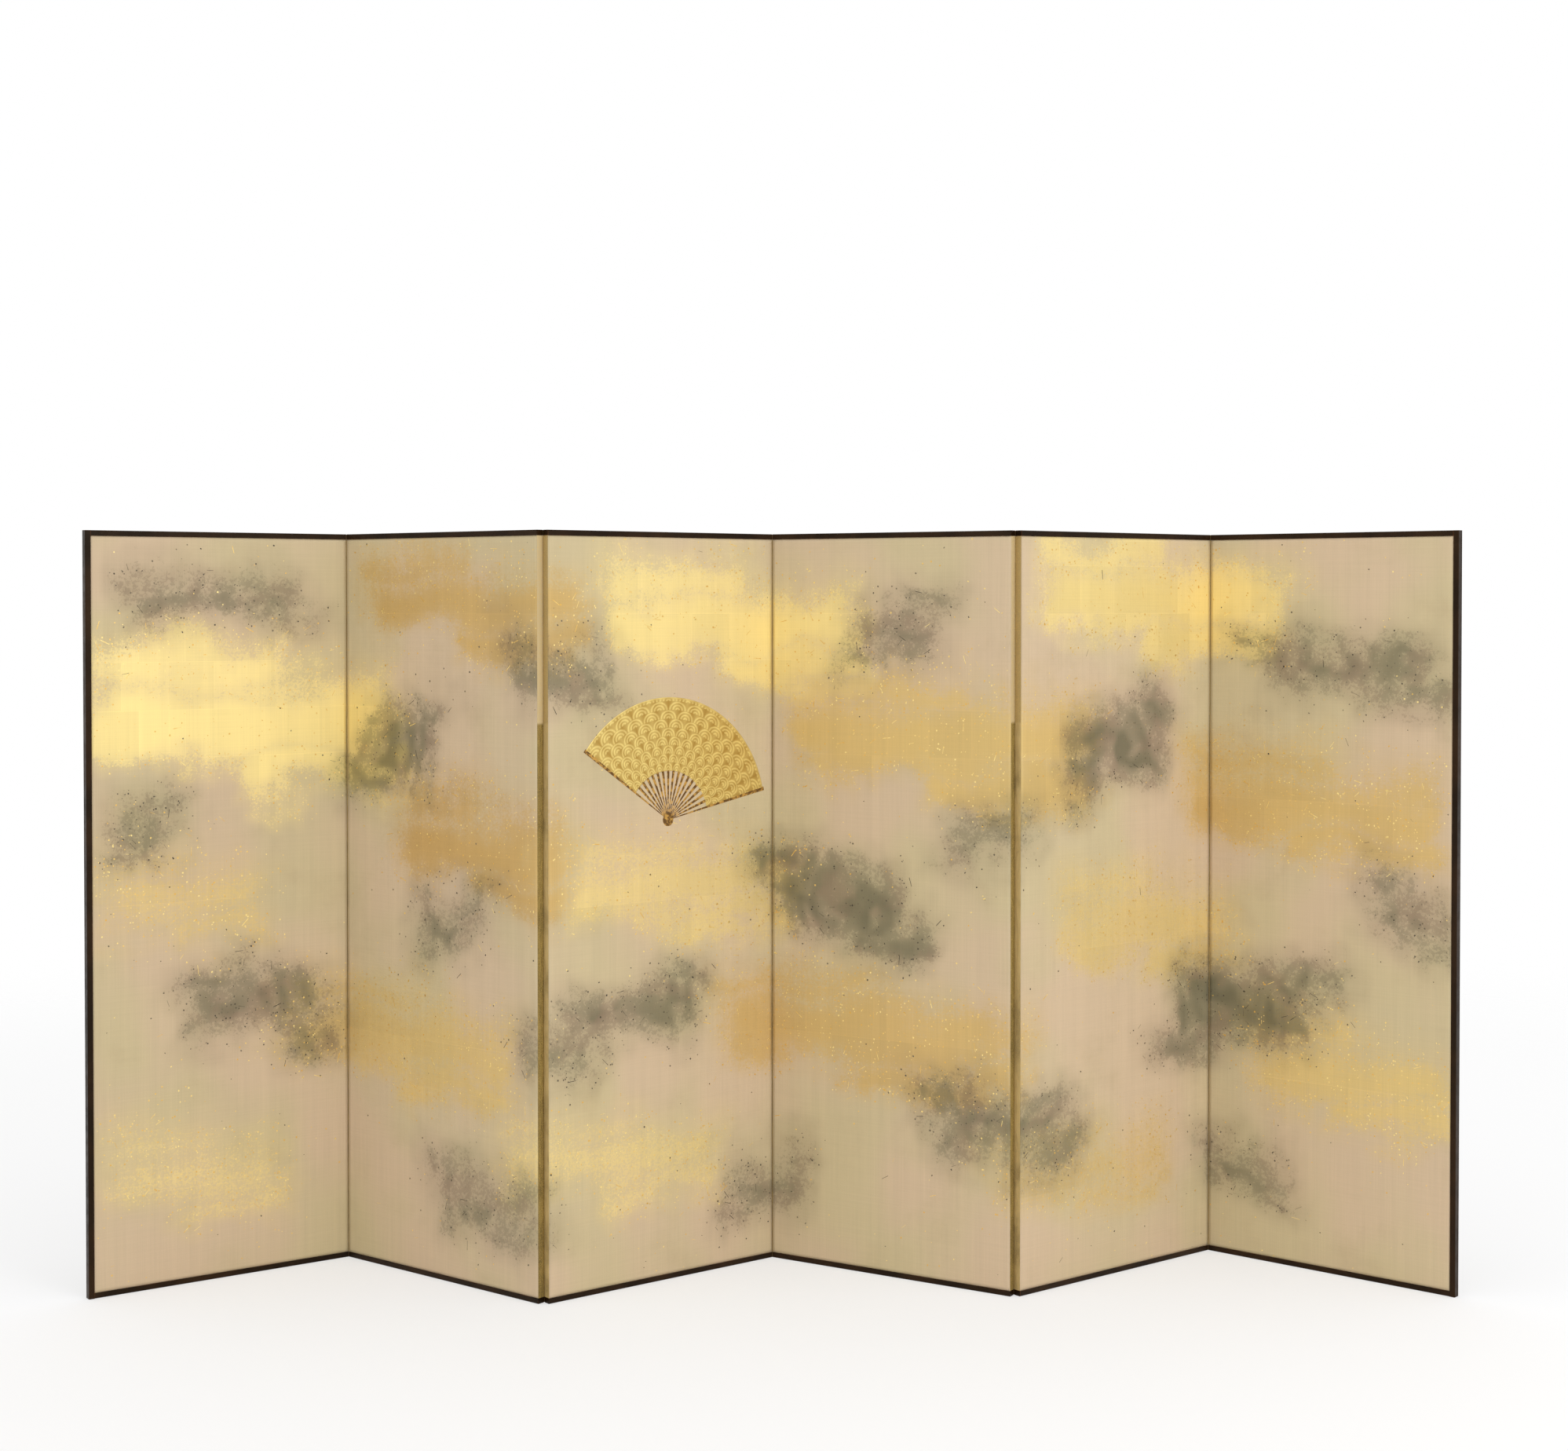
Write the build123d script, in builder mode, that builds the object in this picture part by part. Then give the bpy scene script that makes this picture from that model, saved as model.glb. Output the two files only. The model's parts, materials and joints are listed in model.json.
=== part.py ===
from build123d import *
import os
from functools import lru_cache
from math import cos, radians, sin

# A byobu: a six-panel folding screen that stands by itself in a zigzag.
# Each panel is a cedar lattice, lined with paper on both sides, with a painted face in front
# and a patterned paper behind. Lacquered rails run along its top and bottom, and a lacquered
# stile closes each outer end of the screen. Neighbouring panels are joined by strips of paper
# that pass alternately from the front of one to the back of the other.
#
# Screen frame: +X to the viewer's right along the screen, +Y away from the viewer, +Z up, with
# the origin on the floor at the middle of the screen's box.
# Panel frame: x from the left fold line to the right one, y from the front hinge plane to the
# back one, z from the floor. Lengths are in millimetres and angles in degrees.

# ---------------------------------------------------------------- driving dimensions

SCREEN_HEIGHT = 1712.0  # floor to the top of the rails
PANEL_WIDTH = 628.0  # fold line to fold line
PANEL_TURNS = (35.0, 39.0, 38.5, 32.0, 39.0, 40.0)  # each panel's turn out of the screen's line

CORE_DEPTH = 15.5  # lattice, front to back
CORE_MEMBER = 27.0  # width of the core frame's four members
SLAT_WIDTH = 9.0  # width of the lattice slats
UPRIGHT_SLATS = 4
CROSS_SLATS = 11
TENON_LENGTH = 9.0  # slat tenons, into the core frame
TENON_THICKNESS = 6.0
JOINT_CLEARANCE = 0.1  # glue line around tenons and in laps

LINING_THICKNESS = 0.8  # all paper layers on one side
FACE_THICKNESS = 0.4  # painted silk with its backing
BACK_PAPER_THICKNESS = 0.3

STRIP_WIDTH = 12.5  # rails and end stiles, seen from the front
STRIP_PROUD = 0.9  # how far they stand out past the painted face and the back paper
STRIP_ROUNDING = 2.0  # their outer long edges
STRIP_INNER_ROUNDING = 0.5  # their long edges beside the painted face and the back paper

FOLD_CLEARANCE = 0.15  # from every piece to the fold line and to the hinge planes
HINGE_PAPER = 0.3  # thickness of the hinge strips
HINGE_SECTIONS = 7  # hinge strips per fold, one above the other
HINGE_SECTION_GAP = 1.5
HINGE_FLAP = 32.0  # how far a hinge strip is pasted onto a panel's face

NAIL_DIAMETER = 2.4
NAIL_BITE = 14.0  # length driven into the core
NAIL_HOOK = 9.0  # length of the bent head
NAIL_BEND = 2.5  # bend radius of the head
NAIL_CLEARANCE = 0.05  # around the shank
POCKET_CLEARANCE = 0.5  # around the hook, in its pocket
POCKET_COVER = 4.3  # wood left between a hook's pocket and the strip's outer face
RAIL_NAILS = 3
STILE_NAILS = 5

# ---------------------------------------------------------------- layers and levels

STRIP_FRONT = FOLD_CLEARANCE
FACE_FRONT = STRIP_FRONT + STRIP_PROUD
LINING_FRONT = FACE_FRONT + FACE_THICKNESS
CORE_FRONT = LINING_FRONT + LINING_THICKNESS
CORE_BACK = CORE_FRONT + CORE_DEPTH
CORE_MIDDLE = (CORE_FRONT + CORE_BACK) / 2
LINING_BACK = CORE_BACK + LINING_THICKNESS
BACK_PAPER_BACK = LINING_BACK + BACK_PAPER_THICKNESS
STRIP_BACK = BACK_PAPER_BACK + STRIP_PROUD
STRIP_MIDDLE = (STRIP_FRONT + STRIP_BACK) / 2
PANEL_THICKNESS = STRIP_BACK + FOLD_CLEARANCE  # between the front and the back hinge planes

CORE_BOTTOM = STRIP_WIDTH
CORE_TOP = SCREEN_HEIGHT - STRIP_WIDTH
CORE_MIDHEIGHT = (CORE_BOTTOM + CORE_TOP) / 2
LATTICE_BOTTOM = CORE_BOTTOM + CORE_MEMBER  # inside the core frame
LATTICE_TOP = CORE_TOP - CORE_MEMBER
EDGE_RECESS = FOLD_CLEARANCE + HINGE_PAPER  # core's edge to the fold line

MORTISE_DEPTH = TENON_LENGTH + JOINT_CLEARANCE
MORTISE_THICKNESS = TENON_THICKNESS + 2 * JOINT_CLEARANCE
LAP_DEPTH = (CORE_DEPTH + JOINT_CLEARANCE) / 2
SLAT_LAP = SLAT_WIDTH + 2 * JOINT_CLEARANCE  # also the mortises' width
CORNER_LAP = CORE_MEMBER + 2 * JOINT_CLEARANCE

NAIL_RADIUS = NAIL_DIAMETER / 2
HOOK_ROOM = NAIL_RADIUS + POCKET_CLEARANCE  # from the hook's middle line to its pocket's walls
POCKET_DEPTH = STRIP_WIDTH - POCKET_COVER
NAIL_RISE = POCKET_DEPTH - HOOK_ROOM  # from the core's edge to the hook's middle line
NAIL_HOLE_DEPTH = NAIL_BITE + POCKET_CLEARANCE

PANEL_COUNT = len(PANEL_TURNS)
FROM_CORNER = (Align.MIN, Align.MIN, Align.MIN)
FROM_FRONT = (Align.CENTER, Align.MIN, Align.CENTER)
FROM_BACK = (Align.CENTER, Align.MAX, Align.CENTER)


# ---------------------------------------------------------------- the screen in plan


def fold_kind(fold):
    """Folds count from 1 at the left. Seen from the front they are valleys, which close the
    painted faces together, and ridges, which close the backs together."""
    if fold in (0, PANEL_COUNT):
        return "end"
    return "valley" if fold % 2 else "ridge"


def panel_edges(number):
    """What a panel's left and right edges meet: the kind of fold, or an end of the screen."""
    return fold_kind(number - 1), fold_kind(number)


def heading(number):
    """A panel's direction in plan: odd panels run away from the viewer, even ones back."""
    turn = PANEL_TURNS[number - 1]
    return turn if number % 2 else -turn


def along(direction, distance):
    return Vector(cos(radians(direction)), sin(radians(direction))) * distance


def plan_points():
    """The front left corner of each panel and the pivot of each fold, around the origin. Valleys
    pivot on the front hinge planes and ridges on the back ones."""
    corners, pivots = [Vector(0, 0)], []
    for fold in range(1, PANEL_COUNT):
        pivot = corners[-1] + along(heading(fold), PANEL_WIDTH)
        corner = pivot
        if fold_kind(fold) == "ridge":
            pivot += along(heading(fold) + 90, PANEL_THICKNESS)
            corner = pivot - along(heading(fold + 1) + 90, PANEL_THICKNESS)
        corners.append(corner)
        pivots.append(pivot)
    outline = [
        corner + along(heading(number), x) + along(heading(number) + 90, y)
        for number, corner in enumerate(corners, start=1)
        for x in (0, PANEL_WIDTH)
        for y in (STRIP_FRONT, STRIP_BACK)
    ]
    xs, ys = [point.X for point in outline], [point.Y for point in outline]
    middle = Vector((min(xs) + max(xs)) / 2, (min(ys) + max(ys)) / 2)
    return [corner - middle for corner in corners], [pivot - middle for pivot in pivots]


# ---------------------------------------------------------------- shared measures


def core_span(edges):
    """Where the core, the papers and the silk start and end along x."""
    left, right = edges
    return (
        STRIP_WIDTH if left == "end" else EDGE_RECESS,
        PANEL_WIDTH - (STRIP_WIDTH if right == "end" else EDGE_RECESS),
    )


def rail_span(edges):
    """Where the rails start and end along x: over the hinge papers, or against an end stile."""
    left, right = edges
    return (
        STRIP_WIDTH if left == "end" else FOLD_CLEARANCE,
        PANEL_WIDTH - (STRIP_WIDTH if right == "end" else FOLD_CLEARANCE),
    )


def spaced(low, high, count):
    """The middles of count slats that divide the way from low to high evenly."""
    return [low + (high - low) * (n + 1) / (count + 1) for n in range(count)]


def upright_places(edges):
    low, high = core_span(edges)
    return spaced(low + CORE_MEMBER, high - CORE_MEMBER, UPRIGHT_SLATS)


def cross_places():
    return spaced(LATTICE_BOTTOM, LATTICE_TOP, CROSS_SLATS)


def nail_places(low, slats, high, count):
    """The middles of count of the bays between slats, so that no nail meets a tenon."""
    sides = [low, *slats, high]
    last_bay = len(slats)
    bays = [round(last_bay * n / (count - 1)) for n in range(count)]
    return [(sides[bay] + sides[bay + 1]) / 2 for bay in bays]


def nail_seats(edges):
    """Planes on the core's edges where nails stand: z points out of the core, x along the hook."""
    low, high = core_span(edges)
    xs = nail_places(low + CORE_MEMBER, upright_places(edges), high - CORE_MEMBER, RAIL_NAILS)
    zs = nail_places(LATTICE_BOTTOM, cross_places(), LATTICE_TOP, STILE_NAILS)
    left, right = edges
    return {
        "top": [Plane((x, CORE_MIDDLE, CORE_TOP), (1, 0, 0), (0, 0, 1)) for x in xs],
        "bottom": [Plane((x, CORE_MIDDLE, CORE_BOTTOM), (1, 0, 0), (0, 0, -1)) for x in xs],
        "left": [
            Plane((low, CORE_MIDDLE, z), (0, 0, 1), (-1, 0, 0)) for z in zs if left == "end"
        ],
        "right": [
            Plane((high, CORE_MIDDLE, z), (0, 0, 1), (1, 0, 0)) for z in zs if right == "end"
        ],
    }


def block(low, high, mode=Mode.ADD):
    """A box between two corners, in the part that is being built."""
    with Locations(low):
        Box(*(b - a for a, b in zip(low, high)), align=FROM_CORNER, mode=mode)


# ---------------------------------------------------------------- core


def drill_nail_holes(seats):
    """Cuts the holes of the nails' shanks out of the core members that are being built."""
    if seats:
        with Locations(*(seat.location for seat in seats)):
            Cylinder(
                NAIL_RADIUS + NAIL_CLEARANCE,
                NAIL_HOLE_DEPTH,
                align=(Align.CENTER, Align.CENTER, Align.MAX),
                mode=Mode.SUBTRACT,
            )


@lru_cache
def core_frame(edges):
    """Two uprights and two cross members, half-lapped at the corners, where the uprights keep
    their back halves and the cross members their front halves."""
    low, high = core_span(edges)
    middle = (low + high) / 2
    seats = nail_seats(edges)
    upright_middles = (low + CORE_MEMBER / 2, high - CORE_MEMBER / 2)
    cross_middles = (CORE_BOTTOM + CORE_MEMBER / 2, CORE_TOP - CORE_MEMBER / 2)
    with BuildPart() as uprights:
        with Locations(*((x, CORE_MIDDLE, CORE_MIDHEIGHT) for x in upright_middles)):
            Box(CORE_MEMBER, CORE_DEPTH, CORE_TOP - CORE_BOTTOM)
        with Locations(*((middle, CORE_FRONT, z) for z in cross_middles)):
            Box(high - low, LAP_DEPTH, CORNER_LAP, align=FROM_FRONT, mode=Mode.SUBTRACT)
        between_mortises = high - low - 2 * CORE_MEMBER + 2 * MORTISE_DEPTH
        with Locations(*((middle, CORE_MIDDLE, z) for z in cross_places())):
            Box(between_mortises, MORTISE_THICKNESS, SLAT_LAP, mode=Mode.SUBTRACT)
        drill_nail_holes(seats["left"] + seats["right"])
    with BuildPart() as cross_members:
        with Locations(*((middle, CORE_MIDDLE, z) for z in cross_middles)):
            Box(high - low, CORE_DEPTH, CORE_MEMBER)
        with Locations(*((x, CORE_BACK, CORE_MIDHEIGHT) for x in upright_middles)):
            Box(
                CORNER_LAP,
                LAP_DEPTH,
                CORE_TOP - CORE_BOTTOM,
                align=FROM_BACK,
                mode=Mode.SUBTRACT,
            )
        between_mortises = LATTICE_TOP - LATTICE_BOTTOM + 2 * MORTISE_DEPTH
        with Locations(*((x, CORE_MIDDLE, CORE_MIDHEIGHT) for x in upright_places(edges))):
            Box(SLAT_LAP, MORTISE_THICKNESS, between_mortises, mode=Mode.SUBTRACT)
        drill_nail_holes(seats["top"] + seats["bottom"])
    return [uprights.part, cross_members.part]


@lru_cache
def core_slats(edges):
    """The lattice. At each crossing the upright slat loses its back half and the cross slat its
    front half, and all of them end in tenons."""
    low, high = core_span(edges)
    middle = (low + high) / 2
    length = high - low - 2 * CORE_MEMBER
    height = LATTICE_TOP - LATTICE_BOTTOM
    crossings = [(x, z) for x in upright_places(edges) for z in cross_places()]
    with BuildPart() as upright_slats:
        with Locations(*((x, CORE_MIDDLE, CORE_MIDHEIGHT) for x in upright_places(edges))):
            Box(SLAT_WIDTH, CORE_DEPTH, height)
            Box(SLAT_WIDTH, TENON_THICKNESS, height + 2 * TENON_LENGTH)
        with Locations(*((x, CORE_BACK, z) for x, z in crossings)):
            Box(SLAT_WIDTH, LAP_DEPTH, SLAT_LAP, align=FROM_BACK, mode=Mode.SUBTRACT)
    with BuildPart() as cross_slats:
        with Locations(*((middle, CORE_MIDDLE, z) for z in cross_places())):
            Box(length, CORE_DEPTH, SLAT_WIDTH)
            Box(length + 2 * TENON_LENGTH, TENON_THICKNESS, SLAT_WIDTH)
        with Locations(*((x, CORE_FRONT, z) for x, z in crossings)):
            Box(SLAT_LAP, LAP_DEPTH, SLAT_WIDTH, align=FROM_FRONT, mode=Mode.SUBTRACT)
    return [upright_slats.part, cross_slats.part]


# ---------------------------------------------------------------- papers and silk


def section_levels():
    """Bottom and top of each hinge section, from the lowest up."""
    pitch = (CORE_TOP - CORE_BOTTOM) / HINGE_SECTIONS
    starts = [CORE_BOTTOM + n * pitch + HINGE_SECTION_GAP / 2 for n in range(HINGE_SECTIONS)]
    return [(start, start + pitch - HINGE_SECTION_GAP) for start in starts]


def has_strip_on_edge(side, section):
    """Section by section, the strip lies on the edge of the panel left of the fold, or on that
    of the panel right of it."""
    return section % 2 == (0 if side == "right" else 1)


def flap_is_in_front(kind, on_edge):
    """A strip is pasted to one face of its own panel, lies along its edge and crosses the fold
    line at the pivot, which is in front at a valley and behind at a ridge."""
    return on_edge == (kind == "ridge")


def flap_corners(edges, side, in_front, section):
    """Two corners of the place on a lining where a strip is pasted down."""
    low, high = core_span(edges)
    bottom, top = section_levels()[section]
    x = low if side == "left" else high - HINGE_FLAP
    y = LINING_FRONT if in_front else LINING_BACK - HINGE_PAPER
    return (x, y, bottom), (x + HINGE_FLAP, y + HINGE_PAPER, top)


@lru_cache
def lining(edges, in_front):
    """The paper layers on one side of the core, thinner where hinge strips are pasted down."""
    low, high = core_span(edges)
    y = LINING_FRONT if in_front else CORE_BACK
    with BuildPart() as sheet:
        block((low, y, CORE_BOTTOM), (high, y + LINING_THICKNESS, CORE_TOP))
        for side, kind in zip(("left", "right"), edges):
            for section in range(HINGE_SECTIONS):
                flap_in_front = flap_is_in_front(kind, has_strip_on_edge(side, section))
                if kind != "end" and flap_in_front == in_front:
                    block(*flap_corners(edges, side, in_front, section), Mode.SUBTRACT)
    return sheet.part


@lru_cache
def hinge_papers(edges, side):
    """What one fold's strips put on one panel: on its own sections a flap that turns along the
    panel's edge to the pivot, and on the others a flap that turns up to the pivot at once, with
    a facing that covers the rest of the edge."""
    low, high = core_span(edges)
    kind = edges[0 if side == "left" else 1]
    x = low - HINGE_PAPER if side == "left" else high
    pivot_end = STRIP_FRONT if kind == "valley" else STRIP_BACK
    papers = []
    for section, (bottom, top) in enumerate(section_levels()):
        on_edge = has_strip_on_edge(side, section)
        in_front = flap_is_in_front(kind, on_edge)
        flap = flap_corners(edges, side, in_front, section)
        flap_outside = LINING_FRONT if in_front else LINING_BACK
        flap_inside = LINING_FRONT + HINGE_PAPER if in_front else LINING_BACK - HINGE_PAPER
        turn = sorted((flap_outside if on_edge else flap_inside, pivot_end))
        with BuildPart() as strip:
            block(*flap)
            block((x, turn[0], bottom), (x + HINGE_PAPER, turn[1], top))
        papers.append(strip.part)
        if not on_edge:
            cover = sorted((flap_inside, LINING_BACK if in_front else LINING_FRONT))
            with BuildPart() as facing:
                block((x, cover[0], bottom), (x + HINGE_PAPER, cover[1], top))
            papers.append(facing.part)
    return papers


@lru_cache
def sheet_between_rails(edges, y, thickness):
    """The painted face or the back paper."""
    low, high = core_span(edges)
    with BuildPart() as sheet:
        block((low, y, CORE_BOTTOM), (high, y + thickness, CORE_TOP))
    return sheet.part


# ---------------------------------------------------------------- lacquered strips


def cut_hook_pockets(seats):
    """Cuts the nails' pockets out of the strip that is being built: a slot that the hook goes
    in by, and an undercut where it catches once the strip has been slid along."""
    if seats:
        reach = NAIL_HOOK + POCKET_CLEARANCE
        with Locations(*(seat.location for seat in seats)):
            with Locations((HOOK_ROOM, 0, 0)):
                Box(
                    HOOK_ROOM + reach,
                    2 * HOOK_ROOM,
                    POCKET_DEPTH,
                    align=(Align.MAX, Align.CENTER, Align.MIN),
                    mode=Mode.SUBTRACT,
                )
            with Locations((0, 0, POCKET_DEPTH)):
                Box(
                    reach,
                    2 * HOOK_ROOM,
                    2 * HOOK_ROOM,
                    align=(Align.MIN, Align.CENTER, Align.MAX),
                    mode=Mode.SUBTRACT,
                )


def draw_strip_section(middle, size, outer_side, axis):
    """Draws a strip's section in the sketch that is being built, with its long edges rounded."""
    with Locations(middle):
        section = Rectangle(*size)
    groups = section.vertices().group_by(axis)
    outer, inner = (groups[-1], groups[0]) if outer_side == "far" else (groups[0], groups[-1])
    fillet(outer, STRIP_ROUNDING)
    fillet(inner, STRIP_INNER_ROUNDING)


@lru_cache
def rail(edges, level):
    """The lacquered strip along a panel's top or bottom."""
    low, high = rail_span(edges)
    middle = (CORE_TOP if level == "top" else 0) + STRIP_WIDTH / 2
    with BuildPart() as strip:
        with BuildSketch(Plane.YZ.offset(low)):
            draw_strip_section(
                (STRIP_MIDDLE, middle),
                (STRIP_BACK - STRIP_FRONT, STRIP_WIDTH),
                "far" if level == "top" else "near",
                Axis.Y,
            )
        extrude(amount=high - low)
        cut_hook_pockets(nail_seats(edges)[level])
    return strip.part


@lru_cache
def end_stile(edges):
    """The lacquered strip that closes an outer end of the screen, over the rails' ends."""
    side = "left" if edges[0] == "end" else "right"
    middle = STRIP_WIDTH / 2 if side == "left" else PANEL_WIDTH - STRIP_WIDTH / 2
    with BuildPart() as strip:
        with BuildSketch():
            draw_strip_section(
                (middle, STRIP_MIDDLE),
                (STRIP_WIDTH, STRIP_BACK - STRIP_FRONT),
                "far" if side == "right" else "near",
                Axis.X,
            )
        extrude(amount=SCREEN_HEIGHT)
        cut_hook_pockets(nail_seats(edges)[side])
    return strip.part


@lru_cache
def hooked_nail():
    """An iron nail with its head bent over, on the core's edge at z = 0, with its hook along x."""
    with BuildPart() as nail:
        with BuildLine():
            FilletPolyline(
                (0, 0, -NAIL_BITE), (0, 0, NAIL_RISE), (NAIL_HOOK, 0, NAIL_RISE), radius=NAIL_BEND
            )
        with BuildSketch(Plane.XY.offset(-NAIL_BITE)):
            Circle(NAIL_RADIUS)
        sweep()
        chamfer(nail.edges().sort_by(Axis.Z)[0], NAIL_RADIUS / 2)
    return nail.part


@lru_cache
def nails(edges):
    with BuildPart() as group:
        for seats in nail_seats(edges).values():
            if seats:
                with Locations(*(seat.location for seat in seats)):
                    add(hooked_nail())
    return group.part


# ---------------------------------------------------------------- the whole screen


def write_node(name, pieces, place):
    """Writes one node in its panel's place. Pieces that touch stay separate solids."""
    node = Compound([solid.moved(place) for piece in pieces for solid in piece.solids()])
    node.label = name
    export_step(node, f"parts/{name}.step")


def write_panel(number, place):
    """Writes a panel's own nodes, and those on it that close an end or join a fold."""
    edges, name = panel_edges(number), f"panel_{number}"
    left, right = edges
    face = sheet_between_rails(edges, FACE_FRONT, FACE_THICKNESS)
    back = sheet_between_rails(edges, LINING_BACK, BACK_PAPER_THICKNESS)
    write_node(f"{name}_core_frame", core_frame(edges), place)
    write_node(f"{name}_core_slats", core_slats(edges), place)
    write_node(f"{name}_linings", [lining(edges, True), lining(edges, False)], place)
    write_node(f"{name}_painted_face", [face], place)
    write_node(f"{name}_back_paper", [back], place)
    write_node(f"{name}_top_rail", [rail(edges, "top")], place)
    write_node(f"{name}_bottom_rail", [rail(edges, "bottom")], place)
    write_node(f"{name}_nails", [nails(edges)], place)
    if left == "end":
        write_node("left_end_stile", [end_stile(edges)], place)
    else:
        write_node(f"fold_{number - 1}_right_papers", hinge_papers(edges, "left"), place)
    if right == "end":
        write_node("right_end_stile", [end_stile(edges)], place)
    else:
        write_node(f"fold_{number}_left_papers", hinge_papers(edges, "right"), place)


def main():
    os.makedirs("parts", exist_ok=True)
    corners, _ = plan_points()
    for number, corner in enumerate(corners, start=1):
        write_panel(number, Location(corner, (0, 0, heading(number))))


main()
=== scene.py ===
import json
import math
from collections import namedtuple
from functools import cache
from itertools import cycle

import bpy
import numpy as np
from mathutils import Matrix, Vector

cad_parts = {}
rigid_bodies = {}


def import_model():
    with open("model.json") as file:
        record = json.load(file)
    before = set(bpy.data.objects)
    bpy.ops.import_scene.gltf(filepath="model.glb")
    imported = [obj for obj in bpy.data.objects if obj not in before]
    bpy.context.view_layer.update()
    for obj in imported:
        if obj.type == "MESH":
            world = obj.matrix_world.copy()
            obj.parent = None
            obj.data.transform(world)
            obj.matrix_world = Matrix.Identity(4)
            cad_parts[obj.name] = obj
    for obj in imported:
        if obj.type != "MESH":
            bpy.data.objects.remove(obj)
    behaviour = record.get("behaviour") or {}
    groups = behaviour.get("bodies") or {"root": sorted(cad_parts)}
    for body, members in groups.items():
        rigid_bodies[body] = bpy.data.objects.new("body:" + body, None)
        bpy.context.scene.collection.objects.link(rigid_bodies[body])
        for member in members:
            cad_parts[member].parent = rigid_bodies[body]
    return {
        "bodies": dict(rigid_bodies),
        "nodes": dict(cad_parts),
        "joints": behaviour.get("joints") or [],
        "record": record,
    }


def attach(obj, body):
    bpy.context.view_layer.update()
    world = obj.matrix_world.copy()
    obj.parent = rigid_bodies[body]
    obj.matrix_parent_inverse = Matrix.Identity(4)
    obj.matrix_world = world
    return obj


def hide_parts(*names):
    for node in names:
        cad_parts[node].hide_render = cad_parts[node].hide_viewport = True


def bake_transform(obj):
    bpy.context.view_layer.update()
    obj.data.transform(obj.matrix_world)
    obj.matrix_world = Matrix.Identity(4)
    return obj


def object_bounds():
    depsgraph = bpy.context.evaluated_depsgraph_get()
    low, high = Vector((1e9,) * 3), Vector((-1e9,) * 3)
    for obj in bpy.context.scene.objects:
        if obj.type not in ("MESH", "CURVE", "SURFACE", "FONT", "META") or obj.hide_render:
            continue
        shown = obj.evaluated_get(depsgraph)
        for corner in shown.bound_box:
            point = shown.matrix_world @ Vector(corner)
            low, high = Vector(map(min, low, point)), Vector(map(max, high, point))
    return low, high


# A six-panel byobu folding screen: painted silk in front, printed paper behind, lacquered strips
# and gold-dusted paper hinges. Everything is in metres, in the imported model's frame.
#
# The decoration runs on over all six panels. Its places are given on the unfolded screen: s is
# the distance from the left end along the panels, and z the height over the floor.

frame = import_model()
CAD_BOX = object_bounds()
NODES = frame["nodes"]
PANEL_COUNT = len(frame["bodies"])


# -------------------- panels


class Panel:
    """Where a panel stands at rest. Places on it are u from the painted face's left edge, v behind
    the face's front, and z from the floor. back is the v of the back paper's outside, and start
    is the left edge's s."""

    def __init__(self, number, start):
        self.number = number
        self.body = f"panel_{number}"
        self.start = start
        face = points_of(NODES[f"{self.body}_painted_face"])
        back = points_of(NODES[f"{self.body}_back_paper"])
        plan = face[:, :2] - face[:, :2].mean(axis=0)
        directions = np.linalg.svd(plan, full_matrices=False)[2]
        along = directions[0] * np.sign(directions[0][0])
        self.along = np.array((along[0], along[1], 0))
        self.behind = np.array((-along[1], along[0], 0))
        self.left, self.front = (face @ self.along).min(), (face @ self.behind).min()
        self.width = (face @ self.along).max() - self.left
        self.face_thickness = (face @ self.behind).max() - self.front
        self.back = (back @ self.behind).max() - self.front
        self.back_thickness = self.back - ((back @ self.behind).min() - self.front)
        self.bottom, self.top = face[:, 2].min(), face[:, 2].max()
        self.height = self.top - self.bottom

    def place(self, u, v, z):
        """Points of the frame, for arrays of places on this panel."""
        u, v, z = np.broadcast_arrays(u, v, z)
        flat = np.multiply.outer(u + self.left, self.along)
        flat = flat + np.multiply.outer(v + self.front, self.behind)
        flat[..., 2] = z
        return flat


def points_of(obj):
    """A mesh's points, which are in the frame because every node's origin is the frame's."""
    points = np.empty(len(obj.data.vertices) * 3, np.float32)
    obj.data.vertices.foreach_get("co", points)
    return points.reshape(-1, 3).astype(float)


def read_panels():
    """The panels from left to right, each starting where the last one's face ends."""
    panels, start = [], 0.0
    for number in range(1, PANEL_COUNT + 1):
        panels.append(Panel(number, start))
        start += panels[-1].width
    return panels


# -------------------- node trees


def srgb(red, green, blue):
    """A colour given as 0 to 255 on a screen, in the renderer's linear values."""
    levels = [level / 255 for level in (red, green, blue)]
    linear = [((x + 0.055) / 1.055) ** 2.4 if x > 0.04045 else x / 12.92 for x in levels]
    return (*linear, 1.0)


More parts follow.
